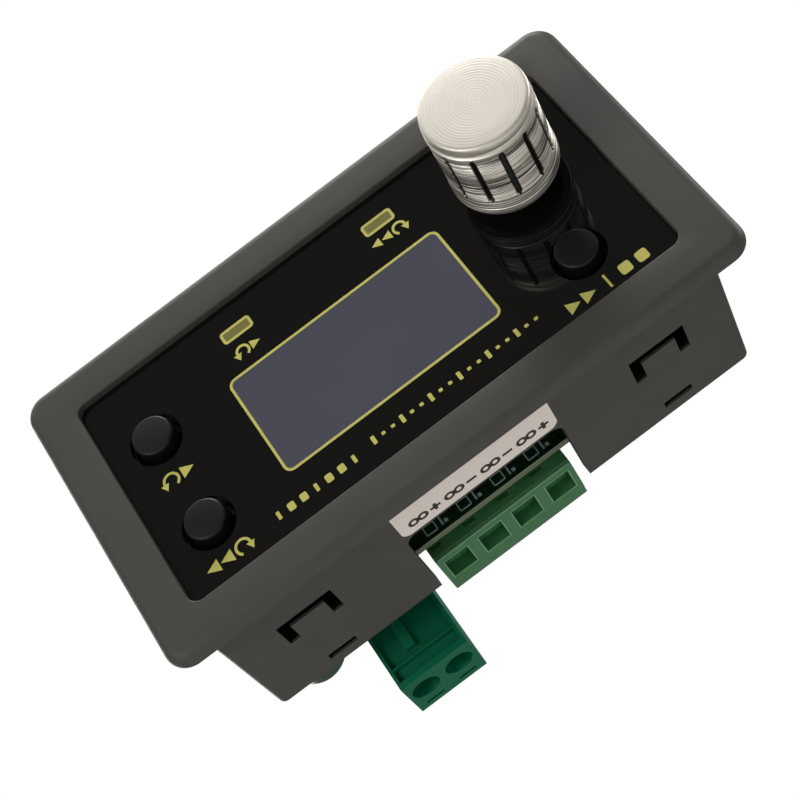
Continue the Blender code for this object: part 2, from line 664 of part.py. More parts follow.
def make_knob():
    """The aluminium shell with its grip slots, and the plastic insert that holds the shaft."""
    x, z = ENCODER_PLACE
    rim = PANEL_FRONT - KNOB_STANDOFF
    outer = KNOB_DIAMETER / 2
    top = KNOB_TOP_DIAMETER / 2
    inner = outer - KNOB_WALL
    chamfer = 0.4
    groove = 0.35
    shoulder = KNOB_HEIGHT - 1.6
    profile = [(0, KNOB_HEIGHT), (top - chamfer, KNOB_HEIGHT), (top, KNOB_HEIGHT - chamfer),
               (top, shoulder + 2 * groove), (top - groove, shoulder + groove), (top, shoulder),
               (top + 0.1, shoulder - 1.0), (outer, 1.2), (outer, 0.2), (outer - 0.2, 0), (inner, 0),
               (inner, KNOB_HEIGHT - KNOB_WALL), (0, KNOB_HEIGHT - KNOB_WALL)]
    shell = turned("knob_shell", profile, (x, rim, z), (0, -1, 0), SPUN_ALUMINIUM, steps=48)
    slot_end = rim - shoulder + 1.2
    for index in range(KNOB_GRIP_SLOTS):
        turn = 2 * math.pi * index / KNOB_GRIP_SLOTS
        slot = centred_box("grip_slot", (x, z), (KNOB_SLOT_WIDTH, 2 * KNOB_SLOT_DEPTH), slot_end,
                           slot_end + KNOB_SLOT_LENGTH)
        slot.location = Vector((x + outer * math.sin(turn), slot_end + KNOB_SLOT_LENGTH / 2,
                                z + outer * math.cos(turn))) * MM
        slot.rotation_euler = (0, turn, 0)
        cut(shell, slot)
    smooth(shell, 25)

    insert_rear = rim - INSERT_RIM
    insert_front = rim - KNOB_HEIGHT + KNOB_WALL + GAP
    insert = rod("knob_insert", inner - GAP, (x, insert_front, z), (0, 1, 0), insert_rear - insert_front,
                 BLACK_NYLON)
    cut(insert, flatted_bar("insert_bore", SHAFT_DIAMETER / 2 + GAP, insert_front - SINK, insert_rear + SINK,
                            insert_rear + REACH))
    smooth(insert)


# Rear board, its link to the front board and the parts on it

def make_rear_board():
    middle = (0, (REAR_BOARD_TOP + REAR_BOARD_BOTTOM) / 2)
    size = (REAR_BOARD_WIDTH, REAR_BOARD_TOP - REAR_BOARD_BOTTOM)
    centred_box("rear_board", middle, size, REAR_BOARD_PLACE, REAR_BOARD_BACK, BOARD_LAMINATE)


def make_link():
    """A socket strip on the front board, and the pin strip on the rear board that enters it."""
    x, z = LINK_PLACE
    width = LINK_PINS * PIN_PITCH
    strip_back = REAR_BOARD_PLACE - GAP
    strip_front = strip_back - LINK_INSULATOR
    socket_front = FRONT_BOARD_BACK + GAP
    socket_back = strip_front - GAP
    socket = centred_box("link_socket", LINK_PLACE, (width, LINK_HEIGHT), socket_front, socket_back,
                         BLACK_NYLON)
    strip = centred_box("link_pins", LINK_PLACE, (width, LINK_HEIGHT), strip_front, strip_back, BLACK_NYLON)
    depth = (socket_back - socket_front) / 2
    cut(socket, centred_box("socket_slot", LINK_PLACE, (width - 2 * GAP - PIN_SIZE, PIN_SIZE + 2 * GAP),
                            socket_back - depth, socket_back + SINK))
    for index in range(LINK_PINS):
        across = x + (index - (LINK_PINS - 1) / 2) * PIN_PITCH
        join(strip, centred_box("link_pin", (across, z), (PIN_SIZE, PIN_SIZE), socket_back - depth + GAP,
                                strip_front + SINK))


def make_capacitor():
    x, z = CAPACITOR_PLACE
    radius = CAPACITOR_DIAMETER / 2
    edge = 0.5
    crimp = 1.6
    neck = radius - 0.35
    profile = [(0, CAPACITOR_LENGTH), (radius - edge, CAPACITOR_LENGTH), (radius, CAPACITOR_LENGTH - edge),
               (radius, crimp + edge), (neck, crimp), (radius, crimp - edge), (radius, 0), (0, 0)]
    smooth(turned("bulk_capacitor", profile, (x, ON_REAR_BOARD, z), (0, 1, 0), CAPACITOR_SLEEVE, steps=28))


def make_board_parts():
    centred_box("driver_chip", DRIVER_PLACE, (CHIP_SIZE, CHIP_SIZE), ON_REAR_BOARD,
                ON_REAR_BOARD + CHIP_THICK, CHIP_EPOXY)
    sink_foot = ON_REAR_BOARD + CHIP_THICK + GAP
    sink = centred_box("heat_sink", DRIVER_PLACE, (HEAT_SINK_SIZE, HEAT_SINK_SIZE), sink_foot,
                       sink_foot + HEAT_SINK_HEIGHT, BLACK_ANODISED)
    fin_pitch = (HEAT_SINK_SIZE - HEAT_SINK_FIN) / (HEAT_SINK_FINS - 1)
    for index in range(HEAT_SINK_FINS - 1):
        across = DRIVER_PLACE[0] - HEAT_SINK_SIZE / 2 + HEAT_SINK_FIN / 2 + (index + 0.5) * fin_pitch
        cut(sink, centred_box("fin_gap", (across, DRIVER_PLACE[1]),
                              (fin_pitch - HEAT_SINK_FIN, HEAT_SINK_SIZE + REACH), sink_foot + HEAT_SINK_BASE,
                              sink_foot + HEAT_SINK_HEIGHT + SINK))
    centred_box("power_inductor", INDUCTOR_PLACE, (INDUCTOR_SIZE, INDUCTOR_SIZE), ON_REAR_BOARD,
                ON_REAR_BOARD + INDUCTOR_HEIGHT, FERRITE, corner=1.0)
    centred_box("regulator_chip", REGULATOR_PLACE, REGULATOR_SIZE, ON_REAR_BOARD,
                ON_REAR_BOARD + CHIP_THICK, CHIP_EPOXY)
    for name, place in RESISTOR_PLACES.items():
        centred_box(name, place, RESISTOR_SIZE, ON_REAR_BOARD, ON_REAR_BOARD + RESISTOR_THICK, CHIP_EPOXY)
    chip_front = FRONT_BOARD_BACK + GAP
    centred_box("controller_chip", CONTROLLER_PLACE, (CHIP_SIZE, CHIP_SIZE), chip_front,
                chip_front + CHIP_THICK, CHIP_EPOXY)


# Screw terminals

def terminal_screw(name, head_top, direction):
    """A slotted screw. The direction points out of its head, and head_top is the middle of the head."""
    length = SCREW_HEAD_THICK + SCREW_SHOULDER + CAGE_PLATE + CLAMP_TRAVEL + 2 * GAP + SCREW_SHANK / 4
    profile = [(0, 0), (SCREW_HEAD / 2, 0), (SCREW_HEAD / 2, -SCREW_HEAD_THICK),
               (SCREW_SHANK / 2, -SCREW_HEAD_THICK), (SCREW_SHANK / 2, -length), (0, -length)]
    screw = turned(name, profile, head_top, direction, PLATED_STEEL, steps=20)
    slot_mesh = box_mesh(name + "_slot", (SCREW_HEAD + REACH, DRIVER_SLOT, SCREW_HEAD_THICK))
    groove = add_object(name + "_slot", slot_mesh, head_top)
    groove.rotation_euler = screw.rotation_euler
    cut(screw, groove)
    smooth(screw)


def clamp_cage(name, middle, size, screw_axis, wire_axis, sign):
    """A wire cage: a frame open along the wire, with a hole for the screw in the plate on its side.

    size holds the outer width, height and depth along X, Y and Z. sign points along the screw's axis
    towards its head.
    """
    low = [middle[axis] - size[axis] / 2 for axis in range(3)]
    high = [middle[axis] + size[axis] / 2 for axis in range(3)]
    cage = box(name, low, high, TINNED_BRASS)
    inner_low, inner_high = list(low), list(high)
    inner_low[0] += CAGE_CHEEK
    inner_high[0] -= CAGE_CHEEK
    inner_low[screw_axis] += CAGE_PLATE
    inner_high[screw_axis] -= CAGE_PLATE
    inner_low[wire_axis] -= SINK
    inner_high[wire_axis] += SINK
    direction = [0, 0, 0]
    direction[screw_axis] = sign
    cut(cage, box(name + "_throat", inner_low, inner_high),
        rod(name + "_hole", SCREW_SHANK / 2 + RUNNING_GAP, middle, direction, size[screw_axis], steps=20))


def pole_places(middle, count):
    return [middle + (index - (count - 1) / 2) * POLE_PITCH for index in range(count)]


def make_output_terminal():
    foot = ON_REAR_BOARD + OUTPUT_STANDOFF - GAP
    head = foot + OUTPUT_LENGTH
    ridge = foot + OUTPUT_RIDGE
    face = OUTPUT_FACE
    back = face + OUTPUT_DEPTH
    half = OUTPUT_WIDTH / 2
    profile = [(foot, face + OUTPUT_LEAN), (foot + OUTPUT_LEAN / 2, face), (ridge, face),
               (head, face + OUTPUT_LEAN), (head, back), (foot, back)]
    block = profile_solid("output_terminal", profile, OUTPUT_MIDDLE - half, OUTPUT_MIDDLE + half,
                          LIGHT_GREEN_NYLON)
    cage_low = foot + GAP + CAGE_PLATE + GAP
    room = (CAGE_WIDTH + 2 * RUNNING_GAP, CAGE_HEIGHT + CLAMP_TRAVEL + 2 * RUNNING_GAP)
    funnel_top = face + WIRE_FUNNEL
    for index, x in enumerate(pole_places(OUTPUT_MIDDLE, OUTPUT_POLES), start=1):
        window_start = foot + WIRE_WINDOW_START
        window = box("wire_window", (x - WIRE_WINDOW / 2, window_start, face - SINK),
                     (x + WIRE_WINDOW / 2, window_start + WIRE_WINDOW_LENGTH, funnel_top + GAP))
        chamber_front = cage_low - RUNNING_GAP
        chamber_top = funnel_top + OUTPUT_CAGE_DEPTH + 2 * RUNNING_GAP
        chamber = box("clamp_room", (x - room[0] / 2, chamber_front, funnel_top),
                      (x + room[0] / 2, chamber_front + room[1], chamber_top))
        screw_z = funnel_top + RUNNING_GAP + OUTPUT_CAGE_DEPTH / 2
        shoulder = chamber_front + room[1] + SCREW_SHOULDER
        head_top = shoulder + GAP + SCREW_HEAD_THICK
        bore = rod("screw_bore", SCREW_HEAD / 2 + RUNNING_GAP, (x, shoulder, screw_z), (0, 1, 0), REACH,
                   steps=24)
        shank = rod("shank_bore", SCREW_SHANK / 2 + RUNNING_GAP,
                    (x, shoulder - SCREW_SHOULDER - SINK, screw_z), (0, 1, 0), SCREW_SHOULDER + 2 * SINK,
                    steps=20)
        cut(block, window, chamber, bore, shank)
        terminal_screw("output_screw_%d" % index, (x, head_top, screw_z), (0, 1, 0))
        clamp_cage("output_clamp_%d" % index, (x, cage_low + CAGE_HEIGHT / 2, screw_z),
                   (CAGE_WIDTH, CAGE_HEIGHT, OUTPUT_CAGE_DEPTH), 1, 2, 1)


def make_supply_socket():
    """The open-ended socket on the rear board, with two square pins."""
    low = (SUPPLY_MIDDLE - SOCKET_WIDTH / 2, ON_REAR_BOARD, SOCKET_BOTTOM)
    high = (SUPPLY_MIDDLE + SOCKET_WIDTH / 2, ON_REAR_BOARD + SOCKET_LENGTH, SOCKET_BOTTOM + SOCKET_HEIGHT)
    socket = box("supply_socket", low, high, DARK_GREEN_NYLON)
    floor = ON_REAR_BOARD + SOCKET_FLOOR
    cut(socket, box("socket_inside", (low[0] + SOCKET_WALL, floor, low[2] + SOCKET_WALL),
                    (high[0] - SOCKET_WALL, high[1] + SINK, high[2] - SOCKET_WALL)))
    middle = SOCKET_BOTTOM + SOCKET_HEIGHT / 2
    for x in pole_places(SUPPLY_MIDDLE, SUPPLY_POLES):
        join(socket, centred_box("socket_pin", (x, middle), (SOCKET_PIN, SOCKET_PIN), floor - SINK,
                                 floor + SOCKET_PIN_LENGTH))


def make_supply_plug():
    """The plug: a nose that enters the socket, and a tower with wire openings, clamps and screws."""
    front = ON_REAR_BOARD + SOCKET_LENGTH + GAP
    rear = front + PLUG_DEPTH
    left, right = SUPPLY_MIDDLE - PLUG_WIDTH / 2, SUPPLY_MIDDLE + PLUG_WIDTH / 2
    plug = box("supply_plug", (left, front, PLUG_BOTTOM), (right, rear, PLUG_TOP), DARK_GREEN_NYLON)

    nose_half = SOCKET_WIDTH / 2 - SOCKET_WALL - RUNNING_GAP
    nose_low = SOCKET_BOTTOM + SOCKET_WALL + RUNNING_GAP
    nose_high = SOCKET_BOTTOM + SOCKET_HEIGHT - SOCKET_WALL - RUNNING_GAP
    join(plug, box("plug_nose", (SUPPLY_MIDDLE - nose_half, front - PLUG_NOSE, nose_low),
                   (SUPPLY_MIDDLE + nose_half, front + SINK, nose_high)))

    lip = PLUG_BOTTOM + PLUG_LIP
    ledge = PLUG_BOTTOM + PLUG_LEDGE
    inside = (left + PLUG_FRAME, right - PLUG_FRAME)
    pocket_floor = front + PLUG_POCKET_DEPTH
    pocket = box("front_pocket", (inside[0], front - SINK, ledge), (inside[1], pocket_floor, nose_low - GAP))
    rib_x = SUPPLY_MIDDLE + PLUG_RIB_OFFSET
    rib = box("pocket_rib", (rib_x - PLUG_RIB / 2, front - REACH, nose_low - PLUG_RIB_LENGTH),
              (rib_x + PLUG_RIB / 2, rear, nose_low + SINK))
    lower_pocket = box("lower_pocket", (inside[0], front - SINK, lip),
                       (inside[1], pocket_floor, ledge - PLUG_LEDGE_THICK))
    cut(plug, cut(pocket, rib), lower_pocket)

    screw_y = front + PLUG_SCREW_PLACE
    cage_high = nose_low + PLUG_WIRE_HEIGHT / 2
    room_low = cage_high - CAGE_HEIGHT - CLAMP_TRAVEL - RUNNING_GAP
    wire_middle = cage_high - CAGE_HEIGHT / 2
    pin_z = SOCKET_BOTTOM + SOCKET_HEIGHT / 2
    half_room = CAGE_WIDTH / 2 + RUNNING_GAP
    half_depth = PLUG_CAGE_DEPTH / 2 + RUNNING_GAP
    for index, x in enumerate(pole_places(SUPPLY_MIDDLE, SUPPLY_POLES), start=1):
        room = box("clamp_room", (x - half_room, screw_y - half_depth, room_low),
                   (x + half_room, screw_y + half_depth, cage_high + RUNNING_GAP))
        wire = box("wire_opening", (x - PLUG_WIRE_WIDTH / 2, screw_y, wire_middle - PLUG_WIRE_HEIGHT / 2),
                   (x + PLUG_WIRE_WIDTH / 2, rear + SINK, wire_middle + PLUG_WIRE_HEIGHT / 2))
        shoulder = room_low - SCREW_SHOULDER
        bore = rod("screw_bore", PLUG_BORE / 2, (x, screw_y, shoulder), (0, 0, -1),
                   shoulder - PLUG_BOTTOM + REACH, steps=28)
        shank = rod("shank_bore", SCREW_SHANK / 2 + RUNNING_GAP, (x, screw_y, room_low + SINK), (0, 0, -1),
                    SCREW_SHOULDER + 2 * SINK, steps=20)
        slit_y = rear - PLUG_SLIT_PLACE
        slit = box("test_slit", (x - PLUG_SLIT_WIDTH / 2, slit_y - PLUG_SLIT / 2, PLUG_BOTTOM - SINK),
                   (x + PLUG_SLIT_WIDTH / 2, slit_y + PLUG_SLIT / 2, PLUG_BOTTOM + PLUG_LEDGE))
        contact = centred_box("contact_hole", (x, pin_z), (SOCKET_PIN + 4 * GAP, SOCKET_PIN + 4 * GAP),
                              front - PLUG_NOSE - SINK, front - PLUG_NOSE + SOCKET_PIN_LENGTH + GAP)
        cut(plug, room, wire, bore, shank, slit, contact)
        head_top = shoulder - GAP - SCREW_HEAD_THICK
        terminal_screw("supply_screw_%d" % index, (x, screw_y, head_top), (0, 0, -1))
        clamp_cage("supply_clamp_%d" % index, (x, screw_y, wire_middle),
                   (CAGE_WIDTH, PLUG_CAGE_DEPTH, CAGE_HEIGHT), 2, 1, -1)


make_housing()
make_front_panel()
make_sticker()
make_front_board()
make_display()
for lamp_name, lamp_place in LAMP_PLACES.items():
    make_lamp(lamp_name, lamp_place)
for button_name, button_place in BUTTON_PLACES.items():
    make_button(button_name, button_place)
make_encoder()
make_knob()
make_rear_board()
make_link()
make_capacitor()
make_board_parts()
make_output_terminal()
make_supply_socket()
make_supply_plug()
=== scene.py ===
"""Looks of the stepper driver module: fine surfaces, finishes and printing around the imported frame."""

import json
import math

import bmesh
import bpy
import numpy as np
from mathutils import Euler, Matrix, Vector


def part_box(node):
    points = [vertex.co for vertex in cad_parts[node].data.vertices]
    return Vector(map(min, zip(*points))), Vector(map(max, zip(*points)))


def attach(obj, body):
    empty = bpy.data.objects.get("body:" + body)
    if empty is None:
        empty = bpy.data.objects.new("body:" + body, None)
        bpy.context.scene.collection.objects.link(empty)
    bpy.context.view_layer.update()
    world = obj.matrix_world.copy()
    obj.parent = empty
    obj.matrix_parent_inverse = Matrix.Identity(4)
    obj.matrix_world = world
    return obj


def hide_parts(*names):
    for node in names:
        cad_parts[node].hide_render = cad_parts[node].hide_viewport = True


bl_info = {
    "name": "Stepper driver module looks",
    "version": (1, 0, 0),
    "blender": (4, 5, 0),
    "location": "3D View > Sidebar > Driver Module",
    "description": "Builds the visible surfaces, finishes and studio of a panel-mounted stepper driver",
    "category": "Object",
}

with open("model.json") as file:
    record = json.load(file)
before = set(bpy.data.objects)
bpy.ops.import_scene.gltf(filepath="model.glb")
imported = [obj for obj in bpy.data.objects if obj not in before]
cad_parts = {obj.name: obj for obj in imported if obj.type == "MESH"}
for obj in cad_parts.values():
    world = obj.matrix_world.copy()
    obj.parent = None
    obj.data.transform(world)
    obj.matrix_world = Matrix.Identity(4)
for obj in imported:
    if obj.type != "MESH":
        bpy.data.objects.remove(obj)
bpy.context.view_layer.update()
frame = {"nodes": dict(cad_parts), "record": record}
MM = 0.001


# Places read from the frame, in millimetres

def node_box(name):
    """Lowest and highest corner of a frame node, in millimetres."""
    low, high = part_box(name)
    return np.array(low) / MM, np.array(high) / MM


HOUSING_LOW, HOUSING_HIGH = node_box("housing")
PANEL_LOW, PANEL_HIGH = node_box("front_panel")
KNOB_LOW, KNOB_HIGH = node_box("knob_shell")
KNOB_MIDDLE, KNOB_HEIGHT = (KNOB_LOW + KNOB_HIGH) / 2, KNOB_HIGH[1] - KNOB_LOW[1]
TERMINAL_LOW, TERMINAL_HIGH = node_box("output_terminal")
STICKER_LOW, STICKER_HIGH = node_box("terminal_sticker")
REAR_LOW, REAR_HIGH = node_box("rear_board")
BUTTONS = ("upper_left", "lower_left", "run")
POLE_PLACES = [-7.7 + index * 5.08 for index in range(4)]
TONGUE_PLACE = 25.05
PRINT = 0.02


# Sizes and colours a user may change

def length(name, description, size, smallest):
    """A setting for a length, given in millimetres."""
    return bpy.props.FloatProperty(name=name, description=description, default=size * MM,
                                   min=smallest * MM, unit="LENGTH")


def paint(name, description, colour):
    """A setting for a colour, as sRGB."""
    return bpy.props.FloatVectorProperty(name=name, description=description, subtype="COLOR_GAMMA",
                                         default=colour, min=0, max=1)


class MouldingSizes(bpy.types.PropertyGroup):
    """Sizes of the grey moulding, in metres."""

    edge_round: length("Front edge", "Radius of the bezel's front edge", 1.55, 0.2)
    corner_round: length("Bezel corner", "Radius of the bezel's corners", 3.0, 1.6)
    colour: paint("Plastic", "Colour of the moulded case", (0.272, 0.262, 0.243))


class KnobSizes(bpy.types.PropertyGroup):
    """Sizes of the knob's turned shell, in metres."""

    slot_width: length("Slot width", "Width of a grip slot", 0.62, 0.2)
    slot_depth: length("Slot depth", "Depth of a grip slot", 0.7, 0.1)
    first_slot: bpy.props.FloatProperty(
        name="First slot", description="Angle of the first slot in degrees", default=10.0)
    slots: bpy.props.IntProperty(
        name="Slots", description="How many grip slots stand round the knob", default=12, min=3, max=48)
    colour: paint("Metal", "Colour of the bare metal", (0.905, 0.880, 0.835))


class PanelColours(bpy.types.PropertyGroup):
    """Colours of the front panel and its printing."""

    acrylic: paint("Acrylic", "Colour of the dark panel", (0.050, 0.047, 0.038))
    ink: paint("Ink", "Colour of the printing", (0.800, 0.775, 0.400))
    display: paint("Display", "Colour of the display when it is off", (0.300, 0.300, 0.352))


class ConnectorColours(bpy.types.PropertyGroup):
    """Colours of the two green connectors."""

    terminal: paint("Terminal", "Colour of the output terminal", (0.235, 0.470, 0.275))
    plug: paint("Plug", "Colour of the supply plug", (0.0, 0.405, 0.275))


class StageSettings(bpy.types.PropertyGroup):
    """The studio round the module."""

    ambient: bpy.props.FloatProperty(
        name="Room light", description="Strength of the even light in the room", default=0.20, min=0)
    key_power: bpy.props.FloatProperty(
        name="Main light", description="Power of the main softbox", default=1.7, min=0, unit="POWER")
    overhead_power: bpy.props.FloatProperty(
        name="Overhead light", description="Power of the wide softbox overhead", default=8.5, min=0,
        unit="POWER")
    floor_drop: bpy.props.FloatProperty(
        name="Floor", description="Height of the floor below the module's middle", default=0.60,
        min=0.1, unit="LENGTH")


# Surfaces

WELD_REACH = 0.0005


def linked(name, data):
    """A new object on the given data, linked to the scene."""
    thing = bpy.data.objects.new(name, data)
    bpy.context.scene.collection.objects.link(thing)
    return thing


def linear(colour):
    """One sRGB colour, as a hex text or three numbers from 0 to 1, turned linear, with full alpha."""
    if isinstance(colour, str):
        colour = [int(colour[start:start + 2], 16) / 255 for start in (1, 3, 5)]
    values = np.asarray(colour[:3], float)
    curve = np.where(values <= 0.04045, values / 12.92, ((values + 0.055) / 1.055) ** 2.4)
    return (*curve.tolist(), 1.0)


def grid_mesh(name, grid, closed_rows=False, closed_columns=True, caps=()):
    """A mesh over a grid of points, rows by columns by xyz, in millimetres.

    Each grid cell becomes one quad. Closed columns join the last column to the first, and closed rows
    the last row to the first. Caps holds "first" or "last" for rows to be filled with one face.
    """
    rows, columns = grid.shape[:2]
    index = np.arange(rows * columns).reshape(rows, columns)
    below = np.roll(index, -1, axis=0) if closed_rows else index[1:]
    here = index if closed_rows else index[:-1]
    if closed_columns:
        quads = np.stack([here, below, np.roll(below, -1, 1), np.roll(here, -1, 1)], -1)
    else:
        quads = np.stack([here[:, :-1], below[:, :-1], below[:, 1:], here[:, 1:]], -1)
    faces = quads.reshape(-1, 4).tolist()
    if "first" in caps:
        faces.append(index[0].tolist())
    if "last" in caps:
        faces.append(index[-1][::-1].tolist())
    mesh = bpy.data.meshes.new(name)
    mesh.from_pydata((grid.reshape(-1, 3) * MM).tolist(), [], faces)
    return mesh


def solid(name, grid):
    """A grid made a closed mesh, its first and last row filled."""
    return welded(grid_mesh(name, grid, caps=("first", "last")))


def welded(mesh):
    """The mesh with points that lie together made one and its faces turned outwards."""
    shape = bmesh.new()
    shape.from_mesh(mesh)
    bmesh.ops.remove_doubles(shape, verts=shape.verts, dist=WELD_REACH * MM)
    bmesh.ops.recalc_face_normals(shape, faces=shape.faces)
    shape.to_mesh(mesh)
    shape.free()
    return mesh


def rounded_rectangle(width, height, radius, arc=8, side=6):
    """Points round a rectangle with round corners, about its middle, as (across, up).

    Each quarter is an arc of the radius about its corner's centre, and the straight stretches between
    the arcs are divided evenly, so every such outline with the same counts has the same points.
    """
    turn = np.linspace(0, math.pi / 2, arc + 1)
    quarters = []
    for quarter in range(4):
        angle = turn + quarter * math.pi / 2
        sign_x = 1 if quarter in (0, 3) else -1
        sign_z = 1 if quarter in (0, 1) else -1
        centre = np.array([sign_x * (width / 2 - radius), sign_z * (height / 2 - radius)])
        quarters.append(centre + radius * np.stack([np.cos(angle), np.sin(angle)], -1))
    outline = []
    share = np.arange(1, side)[:, None] / side
    for quarter in range(4):
        start, end = quarters[quarter][-1], quarters[(quarter + 1) % 4][0]
        outline.extend([quarters[quarter], start + (end - start) * share])
    return np.concatenate(outline)


def ring_rows(rows, centre=(0.0, 0.0), arc=8):
    """Grid of rounded rectangles. Each row is (width, height, radius, distance along Y)."""
    grid = []
    for width, height, radius, along in rows:
        outline = rounded_rectangle(width, height, radius, arc)
        level = np.full(len(outline), along)
        grid.append(np.stack([outline[:, 0] + centre[0], level, outline[:, 1] + centre[1]], -1))
    return np.array(grid)


def arc_steps(count):
    """Sines and cosines of evenly spaced angles over a quarter circle."""
    angle = np.radians(np.linspace(0.0, 90.0, count))
    return zip(np.sin(angle).tolist(), np.cos(angle).tolist())


def turned_grid(profile, place, around=96):
    """A profile of (radius, distance along Y) carried round the Y line through (x, z)."""
    profile = np.asarray(profile, float)
    angle = np.linspace(0, 2 * math.pi, around, endpoint=False)
    radius = profile[:, 0][:, None]
    across = place[0] + radius * np.cos(angle)
    up = place[1] + radius * np.sin(angle)
    along = np.repeat(profile[:, 1][:, None], around, 1)
    return np.stack([across, along, up], -1)


def flat_outline(name, outlines, thickness, edge):
    """Outlines, the first outside and the rest holes, made a plate about Z = 0 with rounded edges."""
    curve = bpy.data.curves.new(name, "CURVE")
    curve.dimensions = "2D"
    curve.fill_mode = "BOTH"
    curve.extrude = (thickness / 2 - edge) * MM
    curve.bevel_depth = edge * MM
    curve.bevel_resolution = 2
    curve.offset = -edge * MM
    for outline in outlines:
        outline = np.asarray(outline, float)
        spline = curve.splines.new("POLY")
        spline.points.add(len(outline) - 1)
        flat = np.column_stack([outline * MM, np.zeros(len(outline)), np.ones(len(outline))])
        spline.points.foreach_set("co", flat.ravel())
        spline.use_cyclic_u = True
    guide = linked(name, curve)
    graph = bpy.context.evaluated_depsgraph_get()
    mesh = bpy.data.meshes.new_from_object(guide.evaluated_get(graph))
    bpy.data.objects.remove(guide)
    bpy.data.curves.remove(curve)
    return mesh


FACING_FRONT = Matrix(((1, 0, 0, 0), (0, 0, -1, 0), (0, 1, 0, 0), (0, 0, 0, 1)))


def front_plate(name, outlines, near, far, edge=0.05):
    """A plate of (x, z) outlines between two distances along Y."""
    mesh = flat_outline(name, outlines, far - near, edge)
    mesh.transform(Matrix.Translation((0, (near + far) / 2 * MM, 0)) @ FACING_FRONT)
    return welded(mesh)


def floor_plate(name, outlines, low, high, edge):
    """A plate of (x, y) outlines between two heights."""
    mesh = flat_outline(name, outlines, high - low, edge)
    mesh.transform(Matrix.Translation((0, 0, (low + high) / 2 * MM)))
    return welded(mesh)


def circle(centre, radius, count=64):
    """Points round a circle, as (across, up)."""
    angle = np.linspace(0, 2 * math.pi, count, endpoint=False)
    return np.array(centre) + radius * np.stack([np.cos(angle), np.sin(angle)], -1)


def block(low, high, edge=0.08):
    """A grid of rounded rectangles that makes a block with a softened front and back edge."""
    low, high = np.array(low, float), np.array(high, float)
    width, _, height = high - low
    middle = (low + high) / 2
    rows = [(width - 2 * edge, height - 2 * edge, edge * 0.5, low[1]), (width, height, edge, low[1] + edge),
            (width, height, edge, high[1] - edge), (width - 2 * edge, height - 2 * edge, edge * 0.5, high[1])]
    return ring_rows(rows, (middle[0], middle[2]), arc=3)


def blocks_mesh(name, boxes, edge=0.08):
    """Several softened blocks, given by their low and high corners, in one mesh."""
    return welded(merged_mesh(name, [solid(name, block(low, high, edge)) for low, high in boxes]))


def cut_away(piece, name, boxes):
    """The blocks cut out of a piece, before its edges are softened."""
    cutter = linked(name, blocks_mesh(name, boxes, 0.02))
    cut = piece.modifiers.new("cut", "BOOLEAN")
    cut.object = cutter
    cut.solver = "EXACT"
    cut.use_self = True
    graph = bpy.context.evaluated_depsgraph_get()
    mesh = bpy.data.meshes.new_from_object(piece.evaluated_get(graph))
    piece.modifiers.remove(cut)
    old = piece.data
    piece.data = mesh
    bpy.data.meshes.remove(old)
    bpy.data.objects.remove(cutter)
    return piece


def merged_mesh(name, meshes):
    """Several meshes put together in one."""
    shape = bmesh.new()
    for mesh in meshes:
        shape.from_mesh(mesh)
        bpy.data.meshes.remove(mesh)
    together = bpy.data.meshes.new(name)
    shape.to_mesh(together)
    shape.free()
    return together


def place_piece(name, mesh, finishes, body, replaced=(), smooth_angle=35.0):
    """A finished piece: its object, finishes, smooth shading, body and the nodes it stands for.

    The finishes are one key of FINISHES or a list of them.
    """
    piece = linked(name, mesh)
    mesh.materials.clear()
    for key in [finishes] if isinstance(finishes, str) else finishes:
        mesh.materials.append(FINISHES[key])
    mesh.shade_smooth()
    mesh.set_sharp_from_angle(angle=math.radians(smooth_angle))
    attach(piece, body)
    if replaced:
        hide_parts(*replaced)
    return piece


def soften_edges(piece, width, segments=2, angle=35.0):
    """A small round on every edge sharper than the angle, as a mould or a tool leaves."""
    bevel = piece.modifiers.new("edges", "BEVEL")
    bevel.width = width * MM
    bevel.segments = segments
    bevel.limit_method = "ANGLE"
    bevel.angle_limit = math.radians(angle)
    bevel.harden_normals = True
    return piece


NODE_BODY = {node: body for body, nodes in frame["record"]["behaviour"]["bodies"].items() for node in nodes}


def node_copy_mesh(node):
    """A frame node's mesh copied, its loose triangles merged and its flat areas made single faces."""
    shape = bmesh.new()
    shape.from_mesh(frame["nodes"][node].data)
    bmesh.ops.remove_doubles(shape, verts=shape.verts, dist=0.002 * MM)
    bmesh.ops.dissolve_limit(shape, angle_limit=math.radians(1.0), verts=shape.verts, edges=shape.edges)
    mesh = bpy.data.meshes.new(node + "_surface")
    shape.to_mesh(mesh)
    shape.free()
    return mesh


def dressed_node(node, finish, edge=0.1, segments=2):
    """A frame node's shape with softened edges and its finish, standing for the node."""
    piece = place_piece(node + "_surface", node_copy_mesh(node), finish, NODE_BODY[node],
                        (node,))
    return soften_edges(piece, edge, segments)


# Finishes

def add_node(tree, kind, inputs=None, **settings):
    """One shader node with its settings, its input values and its links."""
    node = tree.nodes.new(kind)
    for name, value in settings.items():
        setattr(node, name, value)
    for name, value in (inputs or {}).items():
        if isinstance(value, bpy.types.NodeSocket):
            tree.links.new(value, node.inputs[name])
        else:
            node.inputs[name].default_value = value
    return node


def new_finish(name, **sockets):
    """A Principled BSDF material with its constant sockets set. Returns it with its tree and shader."""
    finish = bpy.data.materials.new(name)
    finish.use_nodes = True
    shader = finish.node_tree.nodes["Principled BSDF"]
    for socket, value in sockets.items():
        shader.inputs[socket.replace("_", " ")].default_value = value
    return finish, finish.node_tree, shader


